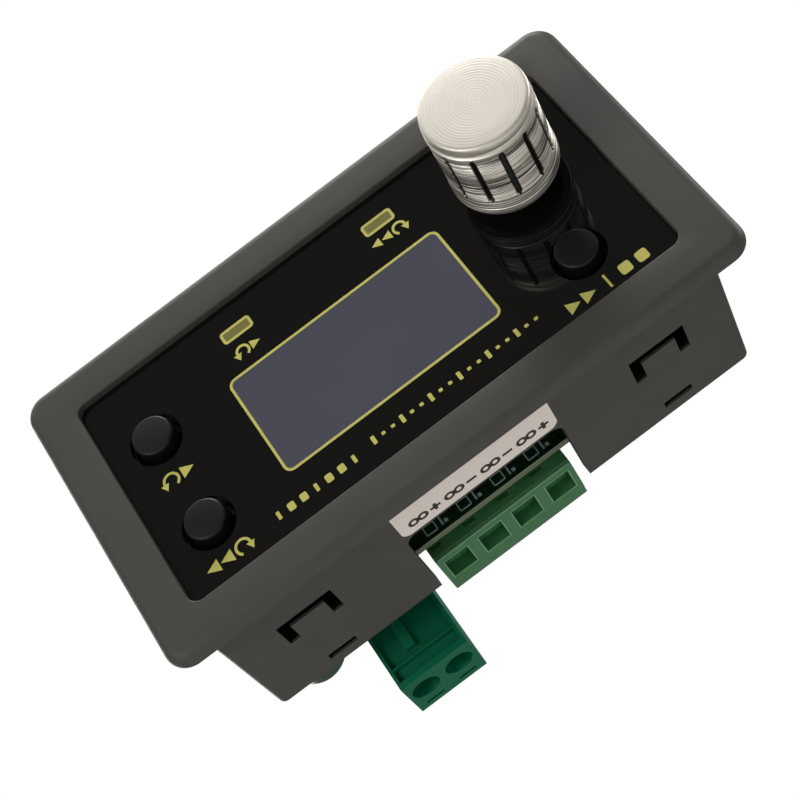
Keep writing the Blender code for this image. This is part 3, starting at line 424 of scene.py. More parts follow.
def object_space(tree, place=(0, 0, 0), scale=(1, 1, 1)):
    """Object coordinates moved so that a place, in millimetres, is the middle, and then scaled."""
    coordinates = add_node(tree, "ShaderNodeTexCoord")
    middle = [-value * MM for value in place]
    shifted = add_node(tree, "ShaderNodeVectorMath", {0: coordinates.outputs["Object"], 1: middle},
                       operation="ADD").outputs[0]
    return stretch(tree, shifted, scale)


def stretch(tree, vector, factors):
    """A vector multiplied by a factor along each axis."""
    return add_node(tree, "ShaderNodeVectorMath", {0: vector, 1: factors}, operation="MULTIPLY").outputs[0]


def noise(tree, vector, size, detail=3.0, roughness=0.55):
    """Noise whose blotches are about the given size, in millimetres. 1000 leaves the vector's own scale."""
    return add_node(tree, "ShaderNodeTexNoise", {"Vector": vector, "Scale": 1000.0 / size,
                                                 "Detail": detail, "Roughness": roughness}).outputs["Fac"]


def remapped(tree, value, low, high, from_low=0.0, from_high=1.0):
    """A value moved from one range to another."""
    return add_node(tree, "ShaderNodeMapRange", {"Value": value, "From Min": from_low, "From Max": from_high,
                                                 "To Min": low, "To Max": high}).outputs[0]


def maths(tree, operation, *values):
    """One sum on values, each a number or another node's output."""
    return add_node(tree, "ShaderNodeMath", dict(enumerate(values)), operation=operation).outputs[0]


def tint(tree, value, dark, light):
    """A colour between two colours, by a value from 0 to 1."""
    ramp = add_node(tree, "ShaderNodeMix", {0: value, 6: dark, 7: light}, data_type="RGBA")
    return ramp.outputs[2]


def scaled_colour(colour, factor):
    """A linear colour made lighter or darker."""
    return (*[min(1.0, channel * factor) for channel in colour[:3]], 1.0)


def bumped(tree, shader, height, distance):
    """A bump from a height value. The distance is in millimetres."""
    bump = add_node(tree, "ShaderNodeBump", {"Height": height, "Distance": distance * MM, "Strength": 1.0})
    tree.links.new(bump.outputs[0], shader.inputs["Normal"])


def shades(colour, dark, light):
    """Two shades of a linear colour, one for each factor."""
    return scaled_colour(colour, dark), scaled_colour(colour, light)


def driven(shader, colour, roughness):
    """The shader's colour and roughness joined to the patterns that drive them."""
    shader.id_data.links.new(colour, shader.inputs["Base Color"])
    shader.id_data.links.new(roughness, shader.inputs["Roughness"])


def plastic(name, colour, roughness, grain=0.22, grain_depth=0.006, **sockets):
    """Moulded plastic: fine spark-eroded grain, slow colour drift, and polish that varies a little."""
    finish, tree, shader = new_finish(name, IOR=1.5, **sockets)
    vector = object_space(tree)
    drift = noise(tree, vector, 14.0, 2.0)
    fine = noise(tree, vector, grain, 4.0, 0.6)
    rubbed = noise(tree, vector, 5.0, 3.0)
    driven(shader, tint(tree, drift, *shades(linear(colour), 0.94, 1.06)),
           remapped(tree, rubbed, roughness - 0.05, roughness + 0.07, 0.3, 0.7))
    bumped(tree, shader, fine, grain_depth)
    return finish


def metal(name, colour, roughness, line_size=0.0, line_axis=1):
    """Bare or plated metal: slight stain, uneven polish, and tool lines across an axis if asked."""
    finish, tree, shader = new_finish(name, Metallic=1.0)
    vector = object_space(tree)
    stain = noise(tree, vector, 3.0, 3.0)
    polish = noise(tree, vector, 0.8, 4.0)
    driven(shader, tint(tree, stain, *shades(linear(colour), 0.9, 1.04)),
           remapped(tree, polish, roughness * 0.8, roughness * 1.25, 0.3, 0.7))
    if line_size:
        factors = [6.0, 6.0, 6.0]
        factors[line_axis] = 1000.0 / line_size
        bumped(tree, shader, noise(tree, stretch(tree, vector, factors), 1000.0, 3.0, 0.5), 0.006)
    return finish


def cast_acrylic(colour):
    """Cast acrylic, tinted on its back: a mirror-smooth face with the faintest waviness and dust."""
    finish, tree, shader = new_finish("dark_cast_acrylic", IOR=1.49, Specular_IOR_Level=0.32)
    vector = object_space(tree)
    drift = noise(tree, vector, 30.0, 1.0)
    smear = noise(tree, vector, 9.0, 4.0)
    driven(shader, tint(tree, drift, *shades(linear(colour), 0.8, 1.2)),
           remapped(tree, smear, 0.035, 0.085, 0.35, 0.75))
    bumped(tree, shader, noise(tree, vector, 12.0, 1.0), 0.0006)
    return finish


def printed_ink(name, colour, roughness=0.35):
    """Screen-printed ink: an even layer, slightly thin in places."""
    finish, tree, shader = new_finish(name, IOR=1.5)
    thin = noise(tree, object_space(tree), 0.9, 3.0)
    driven(shader, tint(tree, thin, *shades(linear(colour), 0.82, 1.08)),
           remapped(tree, thin, roughness - 0.06, roughness + 0.08))
    return finish


def spun_face(colour, middle):
    """Aluminium faced off on a lathe: rings about the middle, from 0.36 mm feed lines to wider bands."""
    finish, tree, shader = new_finish("spun_aluminium_face", Metallic=1.0)
    vector = object_space(tree, middle, (1, 0, 1))
    reach = add_node(tree, "ShaderNodeVectorMath", {0: vector}, operation="LENGTH").outputs["Value"]
    feed = maths(tree, "MULTIPLY", reach, 2 * math.pi / (0.36 * MM))
    ring = maths(tree, "SINE", feed)
    radius_only = add_node(tree, "ShaderNodeCombineXYZ", {0: reach}).outputs[0]
    band = noise(tree, radius_only, 0.25, 3.0)
    both = maths(tree, "MULTIPLY_ADD", ring, 0.25, band)
    driven(shader, tint(tree, remapped(tree, both, 0.0, 1.0, 0.1, 0.9),
                        *shades(linear(colour), 0.86, 1.0)), remapped(tree, band, 0.46, 0.56, 0.3, 0.7))
    bumped(tree, shader, both, 0.012)
    return finish


def turned_side(colour, middle):
    """The knob's side left as turned: close tool rings along its axis, with painted shade in the hollows and
    a painted highlight on the ridges.
    """
    finish, tree, shader = new_finish("turned_aluminium_side", Metallic=1.0)
    vector = object_space(tree, middle)
    torn = noise(tree, stretch(tree, vector, (90.0, 1000.0 / 0.20, 90.0)), 1000.0, 2.0, 0.6)
    along = add_node(tree, "ShaderNodeSeparateXYZ", {0: vector}).outputs[1]
    feed = maths(tree, "MULTIPLY", along, 2 * math.pi / (0.27 * MM))
    wave = maths(tree, "SINE", maths(tree, "MULTIPLY_ADD", torn, 3.0, feed))
    rings = maths(tree, "MULTIPLY_ADD", wave, 0.10, torn)
    # Colour runs from near black in the rings' hollows to brighter than the metal on the ridges: painted
    # shade and painted highlight.
    ring_shade_and_highlight = remapped(tree, rings, 0.0, 1.0, 0.38, 0.62)
    driven(shader, tint(tree, ring_shade_and_highlight, *shades(linear(colour), 0.12, 1.2)),
           remapped(tree, rings, 0.55, 0.36, 0.35, 0.65))
    bumped(tree, shader, rings, 0.13)
    return finish


def solder_mask():
    """Green solder mask over copper tracks on glass laminate, whose sawn edges show pale fibre."""
    finish, tree, shader = new_finish("green_solder_mask_board", IOR=1.55, Coat_Weight=0.25,
                                      Coat_Roughness=0.2)
    vector = object_space(tree)
    cells = {"Vector": vector, "Scale": 1000.0 / 3.2, "Randomness": 0.8}
    first, second = [add_node(tree, "ShaderNodeTexVoronoi", cells, feature=feature,
                              distance="CHEBYCHEV").outputs["Distance"] for feature in ("F1", "F2")]
    track = maths(tree, "LESS_THAN", maths(tree, "SUBTRACT", second, first), 0.09)
    copper = tint(tree, track, linear("#0c2b1a"), linear("#133821"))
    mask = noise(tree, vector, 3.0, 3.0)
    face = tint(tree, remapped(tree, mask, 0.0, 0.5), copper, linear("#0b2414"))
    fibre = noise(tree, stretch(tree, vector, (900.0, 9000.0, 900.0)), 1000.0, 2.0, 0.5)
    edge = tint(tree, fibre, linear("#5d694f"), linear("#8d997b"))
    geometry = add_node(tree, "ShaderNodeNewGeometry")
    across = add_node(tree, "ShaderNodeSeparateXYZ", {0: geometry.outputs["Normal"]}).outputs[1]
    on_face = maths(tree, "GREATER_THAN", maths(tree, "ABSOLUTE", across), 0.6)
    driven(shader, tint(tree, on_face, edge, face), remapped(tree, on_face, 0.75, 0.35))
    bumped(tree, shader, track, 0.03)
    return finish


def vinyl_sticker():
    """A matt vinyl sticker: pale, slightly fibrous, with no gloss."""
    finish, tree, shader = new_finish("matt_vinyl_sticker", IOR=1.45)
    fibre = noise(tree, object_space(tree), 0.35, 4.0)
    driven(shader, tint(tree, fibre, *shades(linear("#f6eae1"), 0.93, 1.03)),
           remapped(tree, fibre, 0.5, 0.65))
    bumped(tree, shader, fibre, 0.006)
    return finish


def display_film(colour):
    """A switched-off display under the panel: smooth, bluish, with fine rows of dots."""
    finish, tree, shader = new_finish("display_film", IOR=1.5, Coat_Weight=0.4, Coat_Roughness=0.05)
    vector = object_space(tree)
    cloud = noise(tree, vector, 16.0, 2.0)
    glow = tint(tree, cloud, *shades(linear(colour), 0.88, 1.12))
    upright = add_node(tree, "ShaderNodeMapping", {"Vector": vector,
                                                   "Rotation": (math.pi / 2, 0, 0)}).outputs[0]
    dots = add_node(tree, "ShaderNodeTexBrick", {
        "Vector": upright, "Color1": (1, 1, 1, 1), "Color2": (0.97, 0.97, 0.97, 1),
        "Mortar": (0.86, 0.86, 0.88, 1), "Scale": 1000.0 / 0.5, "Mortar Size": 0.05, "Brick Width": 1.0,
        "Row Height": 1.0}, offset=0.0)
    mixed = add_node(tree, "ShaderNodeMix", {0: 1.0, 6: glow, 7: dots.outputs["Color"]}, data_type="RGBA",
                     blend_type="MULTIPLY")
    driven(shader, mixed.outputs[2], remapped(tree, cloud, 0.16, 0.26))
    return finish


FINISHES = {}


def make_finishes(scene):
    """Every finish of the module, kept by name for the pieces."""
    case, knob, panel, green = (scene.module_moulding, scene.module_knob, scene.module_panel,
                                scene.module_connectors)
    FINISHES.update({
        "case": plastic("grey_moulded_abs", case.colour, 0.52, 0.30, 0.010, Specular_IOR_Level=0.35),
        "acrylic": cast_acrylic(panel.acrylic),
        "ink": printed_ink("yellow_screen_ink", panel.ink),
        "lamp": plastic("olive_lamp_epoxy", "#7c7740", 0.25, 0.5, 0.002),
        "display": display_film(panel.display),
        "knob_face": spun_face(knob.colour, KNOB_MIDDLE),
        "knob_side": turned_side(knob.colour, KNOB_MIDDLE),
        # Near-black finish for the grip slots' faces: painted shade standing for the dark inside of the deep
        # slots.
        "shaded_slot_finish": plastic("painted_slot_shade", "#12110f", 0.6, 0.3, 0.01),
        "button": plastic("black_abs_cap", "#0a0a09", 0.42, 0.25, 0.004,
                          Specular_IOR_Level=0.3),
        "nylon": plastic("black_nylon", "#1b1b1b", 0.5, 0.2, 0.006),
        "terminal": plastic("light_green_nylon", green.terminal, 0.38, 0.35, 0.006,
                            Subsurface_Weight=0.05, Subsurface_Scale=0.001),
        # Lighter green for the rims round the wire windows and the front lip: a painted highlight on these
        # edges.
        "terminal_rim": plastic("green_nylon_painted_highlight", "#6fa679", 0.38, 0.35, 0.006),
        "plug": plastic("deep_green_nylon", green.plug, 0.5, 0.35, 0.006, Specular_IOR_Level=0.2,
                        Subsurface_Weight=0.05, Subsurface_Scale=0.001),
        "board": solder_mask(),
        "sticker": vinyl_sticker(),
        "sticker_ink": printed_ink("black_thermal_ink", "#1e1412", 0.5),
        "silk": printed_ink("white_legend_ink", "#b9c6bf", 0.5),
        "zinc": metal("zinc_die_casting", "#b9b6ae", 0.38),
        "steel": metal("zinc_plated_steel", "#c4c2bc", 0.3, 0.15, 1),
        "brass": metal("tinned_brass", "#c9c0a4", 0.34, 0.2, 2),
        "solder": metal("bright_solder", "#c8c8c6", 0.22),
        "sleeve": plastic("green_shrink_sleeve", "#26402f", 0.28, 0.6, 0.01),
        "can": metal("etched_aluminium_can", "#c9c9c4", 0.35, 0.3, 0),
        "chip": plastic("black_moulding_compound", "#202022", 0.55, 0.12, 0.01),
        "anodised": metal("black_anodised_aluminium", "#2a2a2c", 0.42, 0.2, 1),
        "ferrite": plastic("sintered_ferrite", "#353537", 0.65, 0.15, 0.02),
        "white": plastic("white_light_guide", "#dcdcd6", 0.4, 0.4, 0.003),
    })


# Housing

def inset(size, amount, along):
    """A row of the bezel's section: (width, height, corner) made smaller all round, at a place along Y."""
    width, height, corner = size
    return width - 2 * amount, height - 2 * amount, corner - amount, along


def bezel_grid(sizes):
    """The bezel's section carried round its outline.

    Row by row: out from the tub along the back face, round a small back edge, up the side, round the
    front edge as a quarter circle, across the face, over a fine round into the recess, down its wall
    and back out under the panel.
    """
    front, floor = HOUSING_LOW[1], PANEL_HIGH[1] + 0.1
    width, height = (HOUSING_HIGH - HOUSING_LOW)[[0, 2]]
    inner_width, inner_height = (PANEL_HIGH - PANEL_LOW)[[0, 2]] + 0.6
    corner, edge = sizes.corner_round / MM, sizes.edge_round / MM
    fine, small, window_corner = 0.18, 0.12, 1.5
    outer, window = (width, height, corner), (inner_width, inner_height, window_corner)
    rows = [(width - 12.0, height - 8.0, 1.0, 0.0)]
    rows += [inset(outer, small * (1 - sine), -small * (1 - cosine)) for sine, cosine in arc_steps(4)]
    rows += [inset(outer, edge * (1 - cosine), front + edge * (1 - sine)) for sine, cosine in arc_steps(14)]
    rows.append(((width - 2 * edge + inner_width) / 2, (height - 2 * edge + inner_height) / 2,
                 (corner - edge + window_corner) / 2, front))
    rows += [inset(window, -fine * (1 - sine), front + fine * (1 - cosine)) for sine, cosine in arc_steps(5)]
    rows += [(inner_width, inner_height, window_corner, floor),
             (inner_width - 6.0, inner_height - 5.0, window_corner, floor),
             (inner_width - 6.0, inner_height - 5.0, window_corner, PANEL_HIGH[1] + 0.3)]
    return ring_rows(rows, arc=12)


def cut_front(mesh, along):
    """What lies in front of a distance along Y taken off a mesh, and the cut filled."""
    shape = bmesh.new()
    shape.from_mesh(mesh)
    cut = bmesh.ops.bisect_plane(shape, geom=[*shape.verts, *shape.edges, *shape.faces], dist=1e-7,
                                 plane_co=(0, along * MM, 0), plane_no=(0, 1, 0), clear_inner=True)
    edges = [part for part in cut["geom_cut"] if isinstance(part, bmesh.types.BMEdge)]
    bmesh.ops.triangle_fill(shape, edges=edges, use_beauty=True)
    bmesh.ops.recalc_face_normals(shape, faces=shape.faces)
    shape.to_mesh(mesh)
    shape.free()


TUB_INSET, SKIN, POCKET_REACH = 2.3, 0.35, 2.2


def tongue_pockets():
    """Hollows inside the walls round each snap tongue's slot, which leave a thin skin there."""
    half = (HOUSING_HIGH[2] - HOUSING_LOW[2]) / 2 - TUB_INSET
    pockets = []
    for side in (-1, 1):
        for level in (-1, 1):
            x = side * TONGUE_PLACE
            low, high = sorted((level * (half - SKIN), level * (half - POCKET_REACH)))
            pockets.append(((x - 4.3, 7.4, low), (x + 4.3, 14.0, high)))
            pockets.append(((x - 2.6, 21.0, low), (x + 2.6, 22.8, high)))
    return pockets


class MODULE_OT_housing(bpy.types.Operator):
    """Build the bezel, and the tub with its snap tongues, notch and board supports"""

    bl_idname = "module.housing"
    bl_label = "Housing"

    def execute(self, context):
        sizes = context.scene.module_moulding
        bezel = welded(grid_mesh("bezel", bezel_grid(sizes), closed_rows=True))
        place_piece("bezel", bezel, "case", "case", ("housing",), 50.0)

        piece = place_piece("tub", node_copy_mesh("housing"), "case", "case",
                            ("housing",), 30.0)
        cut_away(piece, "tongue_pockets", tongue_pockets())
        cut_front(piece.data, 0.02)
        soften_edges(piece, 0.12, 2, 40.0)
        return {"FINISHED"}


# Front panel, printing, display and lamps

def ring_outlines(centre, width, height, radius, line):
    """The outer and inner outline of a printed frame."""
    outer = rounded_rectangle(width, height, radius)
    inner = rounded_rectangle(width - 2 * line, height - 2 * line, max(radius - line, 0.05))
    return [outer + np.array(centre), inner + np.array(centre)]


DISPLAY_MIDDLE, DISPLAY_SIZE = (-1.8, -1.43), (30.4, 15.35)
LAMPS = {"left_lamp": (-12.42, 11.8), "right_lamp": (8.65, 11.97)}
LAMP_SIZE = (4.3, 1.9)


def bar(centre, width, height):
    """A small rectangle, as an outline."""
    return [rounded_rectangle(width, height, min(width, height) * 0.2, 2, 2) + np.array(centre)]


def triangle(centre, size, direction):
    """A small triangle that points left (-1) or right (1)."""
    x, z = centre
    return [np.array([(x - direction * size / 2, z - size / 2), (x + direction * size / 2, z),
                      (x - direction * size / 2, z + size / 2)])]


def turn_arrow(centre, radius, direction):
    """A three-quarter ring with an arrow head, for a direction of turning."""
    angle = np.radians(np.linspace(-60, 180, 26)) * direction + (0 if direction > 0 else math.pi)
    outer = np.stack([np.cos(angle), np.sin(angle)], -1)
    band = np.concatenate([outer * (radius + 0.17), outer[::-1] * (radius - 0.17)]) + np.array(centre)
    tip = angle[-1]
    along = np.array([-math.sin(tip), math.cos(tip)]) * direction
    out = np.array([math.cos(tip), math.sin(tip)])
    base = np.array(centre) + out * radius
    head = np.array([base + out * 0.55, base + along * 0.95, base - out * 0.55])
    return [[band], [head]]


def panel_symbols():
    """Printed signs in place of words: turn arrows, run and stop signs and two rows of marks."""
    signs = []
    signs += [*turn_arrow((-13.2, 8.7), 0.8, 1), triangle((-11.4, 8.7), 1.3, 1)]
    signs += [*turn_arrow((10.3, 9.45), 0.8, -1), triangle((8.4, 9.45), 1.3, -1),
              triangle((6.9, 9.45), 1.3, -1)]
    signs += [*turn_arrow((-28.5, -0.1), 0.95, 1), triangle((-26.2, -0.1), 1.7, 1)]
    signs += [*turn_arrow((-25.6, -13.2), 0.95, -1), triangle((-27.9, -13.2), 1.7, -1),
              triangle((-29.8, -13.2), 1.7, -1)]
    signs += [triangle((19.9, -14.0), 1.7, 1), triangle((22.0, -14.0), 1.7, 1), bar((24.5, -14.0), 0.3, 2.0),
              bar((27.0, -14.0), 1.5, 1.5), bar((29.3, -14.0), 1.5, 1.5)]
    for step in range(7):
        signs.append(bar((-20.4 + step * 1.75, -12.75), 0.95 if step % 3 else 0.45, 1.1))
    for step in range(18):
        signs.append(bar((-6.9 + step * 1.33, -12.3), 0.5, 0.42 if step % 3 else 1.15))
    return signs


class MODULE_OT_panel(bpy.types.Operator):
    """Build the dark panel with its printing, display and lamp windows"""

    bl_idname = "module.panel"
    bl_label = "Front panel"

    def execute(self, context):
        width, height = PANEL_HIGH[0] - PANEL_LOW[0] + 0.5, PANEL_HIGH[2] - PANEL_LOW[2] + 0.5
        middle = (PANEL_LOW + PANEL_HIGH) / 2
        face = PANEL_LOW[1]
        outlines = [rounded_rectangle(width, height, 1.45) + middle[[0, 2]], circle(KNOB_MIDDLE[[0, 2]], 3.8)]
        for name in BUTTONS:
            low, high = node_box(name + "_button")
            outlines.append(circle(((low + high) / 2)[[0, 2]], 3.35))
        plate = front_plate("front_panel_plate", outlines, face, PANEL_HIGH[1], 0.06)
        place_piece("front_panel_plate", plate, "acrylic", "case",
                    ("front_panel",), 2.0)

        outlines = [ring_outlines(DISPLAY_MIDDLE, *DISPLAY_SIZE, 1.1, 0.34)]
        outlines += [ring_outlines(place, *LAMP_SIZE, 0.5, 0.36) for place in LAMPS.values()]
        ink = [front_plate("sign", outline, face - PRINT, face + PRINT, 0.005)
               for outline in outlines + panel_symbols()]
        place_piece("panel_printing", merged_mesh("panel_printing", ink), "ink", "case",
                    (), 2.0)

        windows = [("display", DISPLAY_MIDDLE, DISPLAY_SIZE, 0.8, "display", "display_glass")]
        windows += [(name, place, LAMP_SIZE, 0.25, "lamp", "lamp_epoxy") for name, place in LAMPS.items()]
        for name, place, size, corner, finish, slot in windows:
            pane = rounded_rectangle(size[0] - 0.6, size[1] - 0.6, corner) + np.array(place)
            window = front_plate(name + "_window", [pane], face - 0.015, face + PRINT, 0.005)
            place_piece(name + "_window", window, finish, "case", (), 2.0)
        for node in ("display_glass", "display_backlight", "left_lamp", "right_lamp"):
            finish = {"display_glass": "display", "display_backlight": "white"}.get(node, "lamp")
            dressed_node(node, finish)
        return {"FINISHED"}


# Buttons and switches

class MODULE_OT_buttons(bpy.types.Operator):
    """Build the three push buttons and the switches behind them"""

    bl_idname = "module.buttons"
    bl_label = "Buttons"

    def execute(self, context):
        for name in BUTTONS:
            low, high = node_box(name + "_button")
            place = ((low + high) / 2)[[0, 2]]
            radius, flange, edge, dome = 2.6, (high[0] - low[0]) / 2, 0.32, 0.12
            top = low[1]
            profile = [(0.001, top)]
            profile += [(share * (radius - edge), top + dome * share ** 2)
                        for share in (0.25, 0.5, 0.75, 1.0)]
            profile += [(radius - edge + edge * sine, top + dome + edge * (1 - cosine))
                        for sine, cosine in arc_steps(7)][1:]
            profile += [(radius, 1.9), (flange, 1.9), (flange, 2.7), (radius, 2.7), (radius, high[1] - 1.6),
                        (1.4, high[1] - 1.6), (1.4, high[1]), (0.001, high[1])]
            mesh = solid(name + "_cap", turned_grid(profile, place))
            place_piece(name + "_cap", mesh, "button", name + "_button",
                        (name + "_button",))
            dressed_node(name + "_switch", "steel", 0.15)
        return {"FINISHED"}


# Knob and encoder

def knob_profile(height):
    """The shell's section from the middle of its face, over the rim and groove, down to its foot.

    Each entry is (radius, distance below the face). The foot carries four fine rings.
    """
    profile = [(0.001, 0.0), (2.0, 0.0), (4.0, 0.0), (6.0, 0.0), (6.12, 0.01)]
    profile += [(6.12 + 0.36 * sine, 0.01 + 0.36 * (1 - cosine)) for sine, cosine in arc_steps(5)][1:]
    profile += [(6.52, 0.75), (6.50, 1.10), (6.30, 1.25), (6.26, 1.45), (6.34, 1.60), (6.58, 1.75),
                (6.60, 1.95), (6.56, 2.45)]
    ridges = np.linspace(2.55, height - 2.5, 57)
    profile += [(6.55 if step % 2 else 6.47, depth) for step, depth in enumerate(ridges.tolist())]
    profile.append((6.46, height - 2.3))
    start, pitch = height - 2.1, 0.46
    for ring in range(4):
        base = start + ring * pitch
        profile += [(6.60, base + 0.06), (6.64, base + 0.18), (6.60, base + 0.32), (6.50, base + 0.42)]
    profile += [(6.55, height - 0.12), (6.45, height), (5.75, height), (5.65, height - 0.1),
                (5.62, height - 1.5), (0.001, height - 1.5)]
    return np.array(profile)


def knob_grid(settings):
    """The knob's section carried round its axis, pressed in at each grip slot.

    The radius at an angle is the section's radius less the slot's depth, times a flat-bottomed pulse
    across each slot, times a pulse along the slot whose ends are round.
    """
    height = KNOB_HEIGHT
    profile = knob_profile(height)
    around = 720
    angle = np.linspace(0, 2 * math.pi, around, endpoint=False)
    spacing = 2 * math.pi / settings.slots
    turned = angle - math.radians(settings.first_slot)
    offset = np.abs((turned + spacing / 2) % spacing - spacing / 2) * 6.5
    half_width = settings.slot_width / MM / 2
    slot_top, slot_foot = 2.35 + half_width, height - 2.75 - half_width
    depth = profile[:, 1][:, None]
    beyond = np.clip(np.maximum(slot_top - depth, depth - slot_foot), 0, None)
    reach = np.hypot(offset[None, :], beyond)
    pulse = 1 - np.clip((reach - half_width + 0.06) / 0.12, 0, 1)
    outside = (profile[:, 0] > 6.0)[:, None] & (depth > 1.9) & (depth < height - 2.2)
    radius = profile[:, 0][:, None] - settings.slot_depth / MM * pulse * outside
    across = KNOB_MIDDLE[0] + radius * np.sin(angle)
    up = KNOB_MIDDLE[2] + radius * np.cos(angle)
    along = np.repeat(KNOB_LOW[1] + profile[:, 1][:, None], around, 1)
    return np.stack([across, along, up], -1)


class MODULE_OT_knob(bpy.types.Operator):
    """Build the knob's shell and insert, and the encoder with its shaft"""

    bl_idname = "module.knob"
    bl_label = "Knob and encoder"

    def execute(self, context):
        grid = knob_grid(context.scene.module_knob)
        mesh = solid("knob_cap", grid)
        finishes = ["knob_face", "knob_side", "shaded_slot_finish"]
        place_piece("knob_cap", mesh, finishes, "knob", ("knob_shell",), 50.0)
        centres = np.zeros(len(mesh.polygons) * 3)
        mesh.polygons.foreach_get("center", centres)
        centres = centres.reshape(-1, 3) / MM - KNOB_MIDDLE
        height = KNOB_HEIGHT
        depth = centres[:, 1] + height / 2
        radius = np.hypot(centres[:, 0], centres[:, 2])
        side = (depth > 2.45) & (depth < height - 0.1) & (radius > 5.8)
        # The slot faces take the near-black finish: painted shade in the slots.
        slot_faces_in_shade = (depth > 1.95) & (depth < height - 2.2) & (radius < 6.38) & (radius > 5.75)
        mesh.polygons.foreach_set("material_index", np.where(slot_faces_in_shade, 2, side.astype(int)).astype(np.int32))
        for node, finish in (("knob_insert", "nylon"), ("encoder_shaft", "zinc"), ("encoder_collar", "zinc"),
                             ("encoder_clip", "steel"), ("encoder_base", "nylon")):
            dressed_node(node, finish)
        dressed_node("push_plunger", "nylon", 0.08)
        return {"FINISHED"}


# Boards and what stands on them

SMALL_PARTS = ((-6, 4), (-6, 6.2), (-6, 8.4), (-10, 11), (-2, 9), (12, -2), (12, 0.2), (12, 2.4), (9, 8),
               (14, 11), (-10, 0), (-12, -3), (-24, 12), (-28, 12), (29.6, -6.4), (29.6, -8.6), (3, 3),
               (3, 0.8), (30, 12))


BOARD_PARTS = (("link_socket", "nylon", 0.1), ("link_pins", "nylon", 0.1), ("driver_chip", "chip", 0.12),
               ("regulator_chip", "chip", 0.12), ("controller_chip", "chip", 0.12),
               ("left_sense_resistor", "chip", 0.12), ("right_sense_resistor", "chip", 0.12),
               ("heat_sink", "anodised", 0.08), ("power_inductor", "ferrite", 0.15))


def small_part_boxes(width, offset):
    """Blocks for the small parts on the rear board, or for their soldered ends, by width and offset."""
    seat = REAR_HIGH[1]
    tall = 0.55 if offset else 0.5
    return [((x + offset - width / 2, seat - 0.02, z - 0.4), (x + offset + width / 2, seat + tall, z + 0.4))
            for x, z in SMALL_PARTS]


def leg_boxes(node, count):
    """Soldered legs along the lower and upper side of a chip."""
    low, high = node_box(node)
    seat = REAR_HIGH[1]
    legs = []
    for x in np.linspace(low[0] + 0.5, high[0] - 0.5, count):
        for z in (low[2] - 0.35, high[2] + 0.35):
            legs.append(((x - 0.16, seat - 0.02, z - 0.45), (x + 0.16, seat + 0.22, z + 0.45)))
    return legs


class MODULE_OT_boards(bpy.types.Operator):
    """Dress the two circuit boards, their legend and the parts on them"""

    bl_idname = "module.boards"
    bl_label = "Circuit boards"

    def execute(self, context):
        dressed_node("front_board", "board", 0.05, 1)
        dressed_node("rear_board", "board", 0.05, 1)
        face, row = REAR_LOW[1], REAR_LOW[2] + 1.35
        outlines = []
        for x in POLE_PLACES:
            outlines += [ring_outlines((x - 0.6, row), 1.7, 1.5, 0.2, 0.16), bar((x + 1.0, row), 0.25, 1.3),
                         bar((x + 1.6, row - 0.35), 0.5, 0.5)]
        marks = [front_plate("mark", outline, face - 0.03, face + 0.01, 0.004) for outline in outlines]
        place_piece("board_legend", merged_mesh("board_legend", marks), "silk", "case")
        place_piece("small_parts", blocks_mesh("small_parts", small_part_boxes(1.5, 0.0)), "chip",
                    "case")
        place_piece("small_part_ends", blocks_mesh("small_part_ends", [
            *small_part_boxes(0.4, -0.95), *small_part_boxes(0.4, 0.95), *leg_boxes("regulator_chip", 3),
            *leg_boxes("driver_chip", 8)], 0.03), "solder", "case")
        for node, finish, edge in BOARD_PARTS:
            dressed_node(node, finish, edge)
        low, high = node_box("bulk_capacitor")
        middle, radius = ((low + high) / 2)[[0, 2]], (high[0] - low[0]) / 2
        foot, top = low[1], high[1]
        sleeve = [(0.01, foot), (radius - 0.5, foot), (radius - 0.1, foot + 0.12), (radius, foot + 0.5),
                  (radius, foot + 0.9), (radius - 0.22, foot + 1.2), (radius - 0.22, foot + 1.5),
                  (radius, foot + 1.8), (radius, top - 0.5), (radius - 0.12, top - 0.15),
                  (radius - 0.45, top - 0.02), (radius - 0.9, top - 0.05), (radius - 1.0, top - 0.2),
                  (0.01, top - 0.2)]
        mesh = solid("capacitor_sleeve", turned_grid(sleeve, middle))
        place_piece("capacitor_sleeve", mesh, "sleeve", "case",
                    ("bulk_capacitor",))
        vent = [((middle[0] - across, top - 0.16, middle[1] - up),
                 (middle[0] + across, top - 0.08, middle[1] + up))
                for across, up in ((2.0, 0.07), (0.07, 2.0))]
        can = [(0.01, top - 0.25), (radius - 1.05, top - 0.25), (radius - 1.05, top - 0.14),
               (0.01, top - 0.12)]
        lid = solid("lid", turned_grid(can, middle, 64))
        lid = welded(merged_mesh("capacitor_can", [lid, blocks_mesh("vent", vent, 0.02)]))
        place_piece("capacitor_can", lid, "can", "case")
        return {"FINISHED"}


# Connectors and sticker

def pole_windows():
    """Middle and size of each wire window in the output terminal's lower face, as x, y, width, depth."""
    windows = []
    for number in range(1, 5):
        low, high = node_box("output_clamp_%d" % number)
        windows.append(((low[0] + high[0]) / 2, TERMINAL_LOW[1] + 3.63, 3.35, 4.45))
    return windows


def guide_floors():
    """The flat floors just inside the wire windows, under each clamp."""
    front, foot = TERMINAL_LOW[1] + 1.4, TERMINAL_LOW[2]
    floors = [block((x - 1.66, front + 0.75, foot + 1.75), (x + 1.66, front + 4.44, foot + 2.1), 0.05)
              for x, _, _, _ in pole_windows()]
    return [solid("floor", floor) for floor in floors]


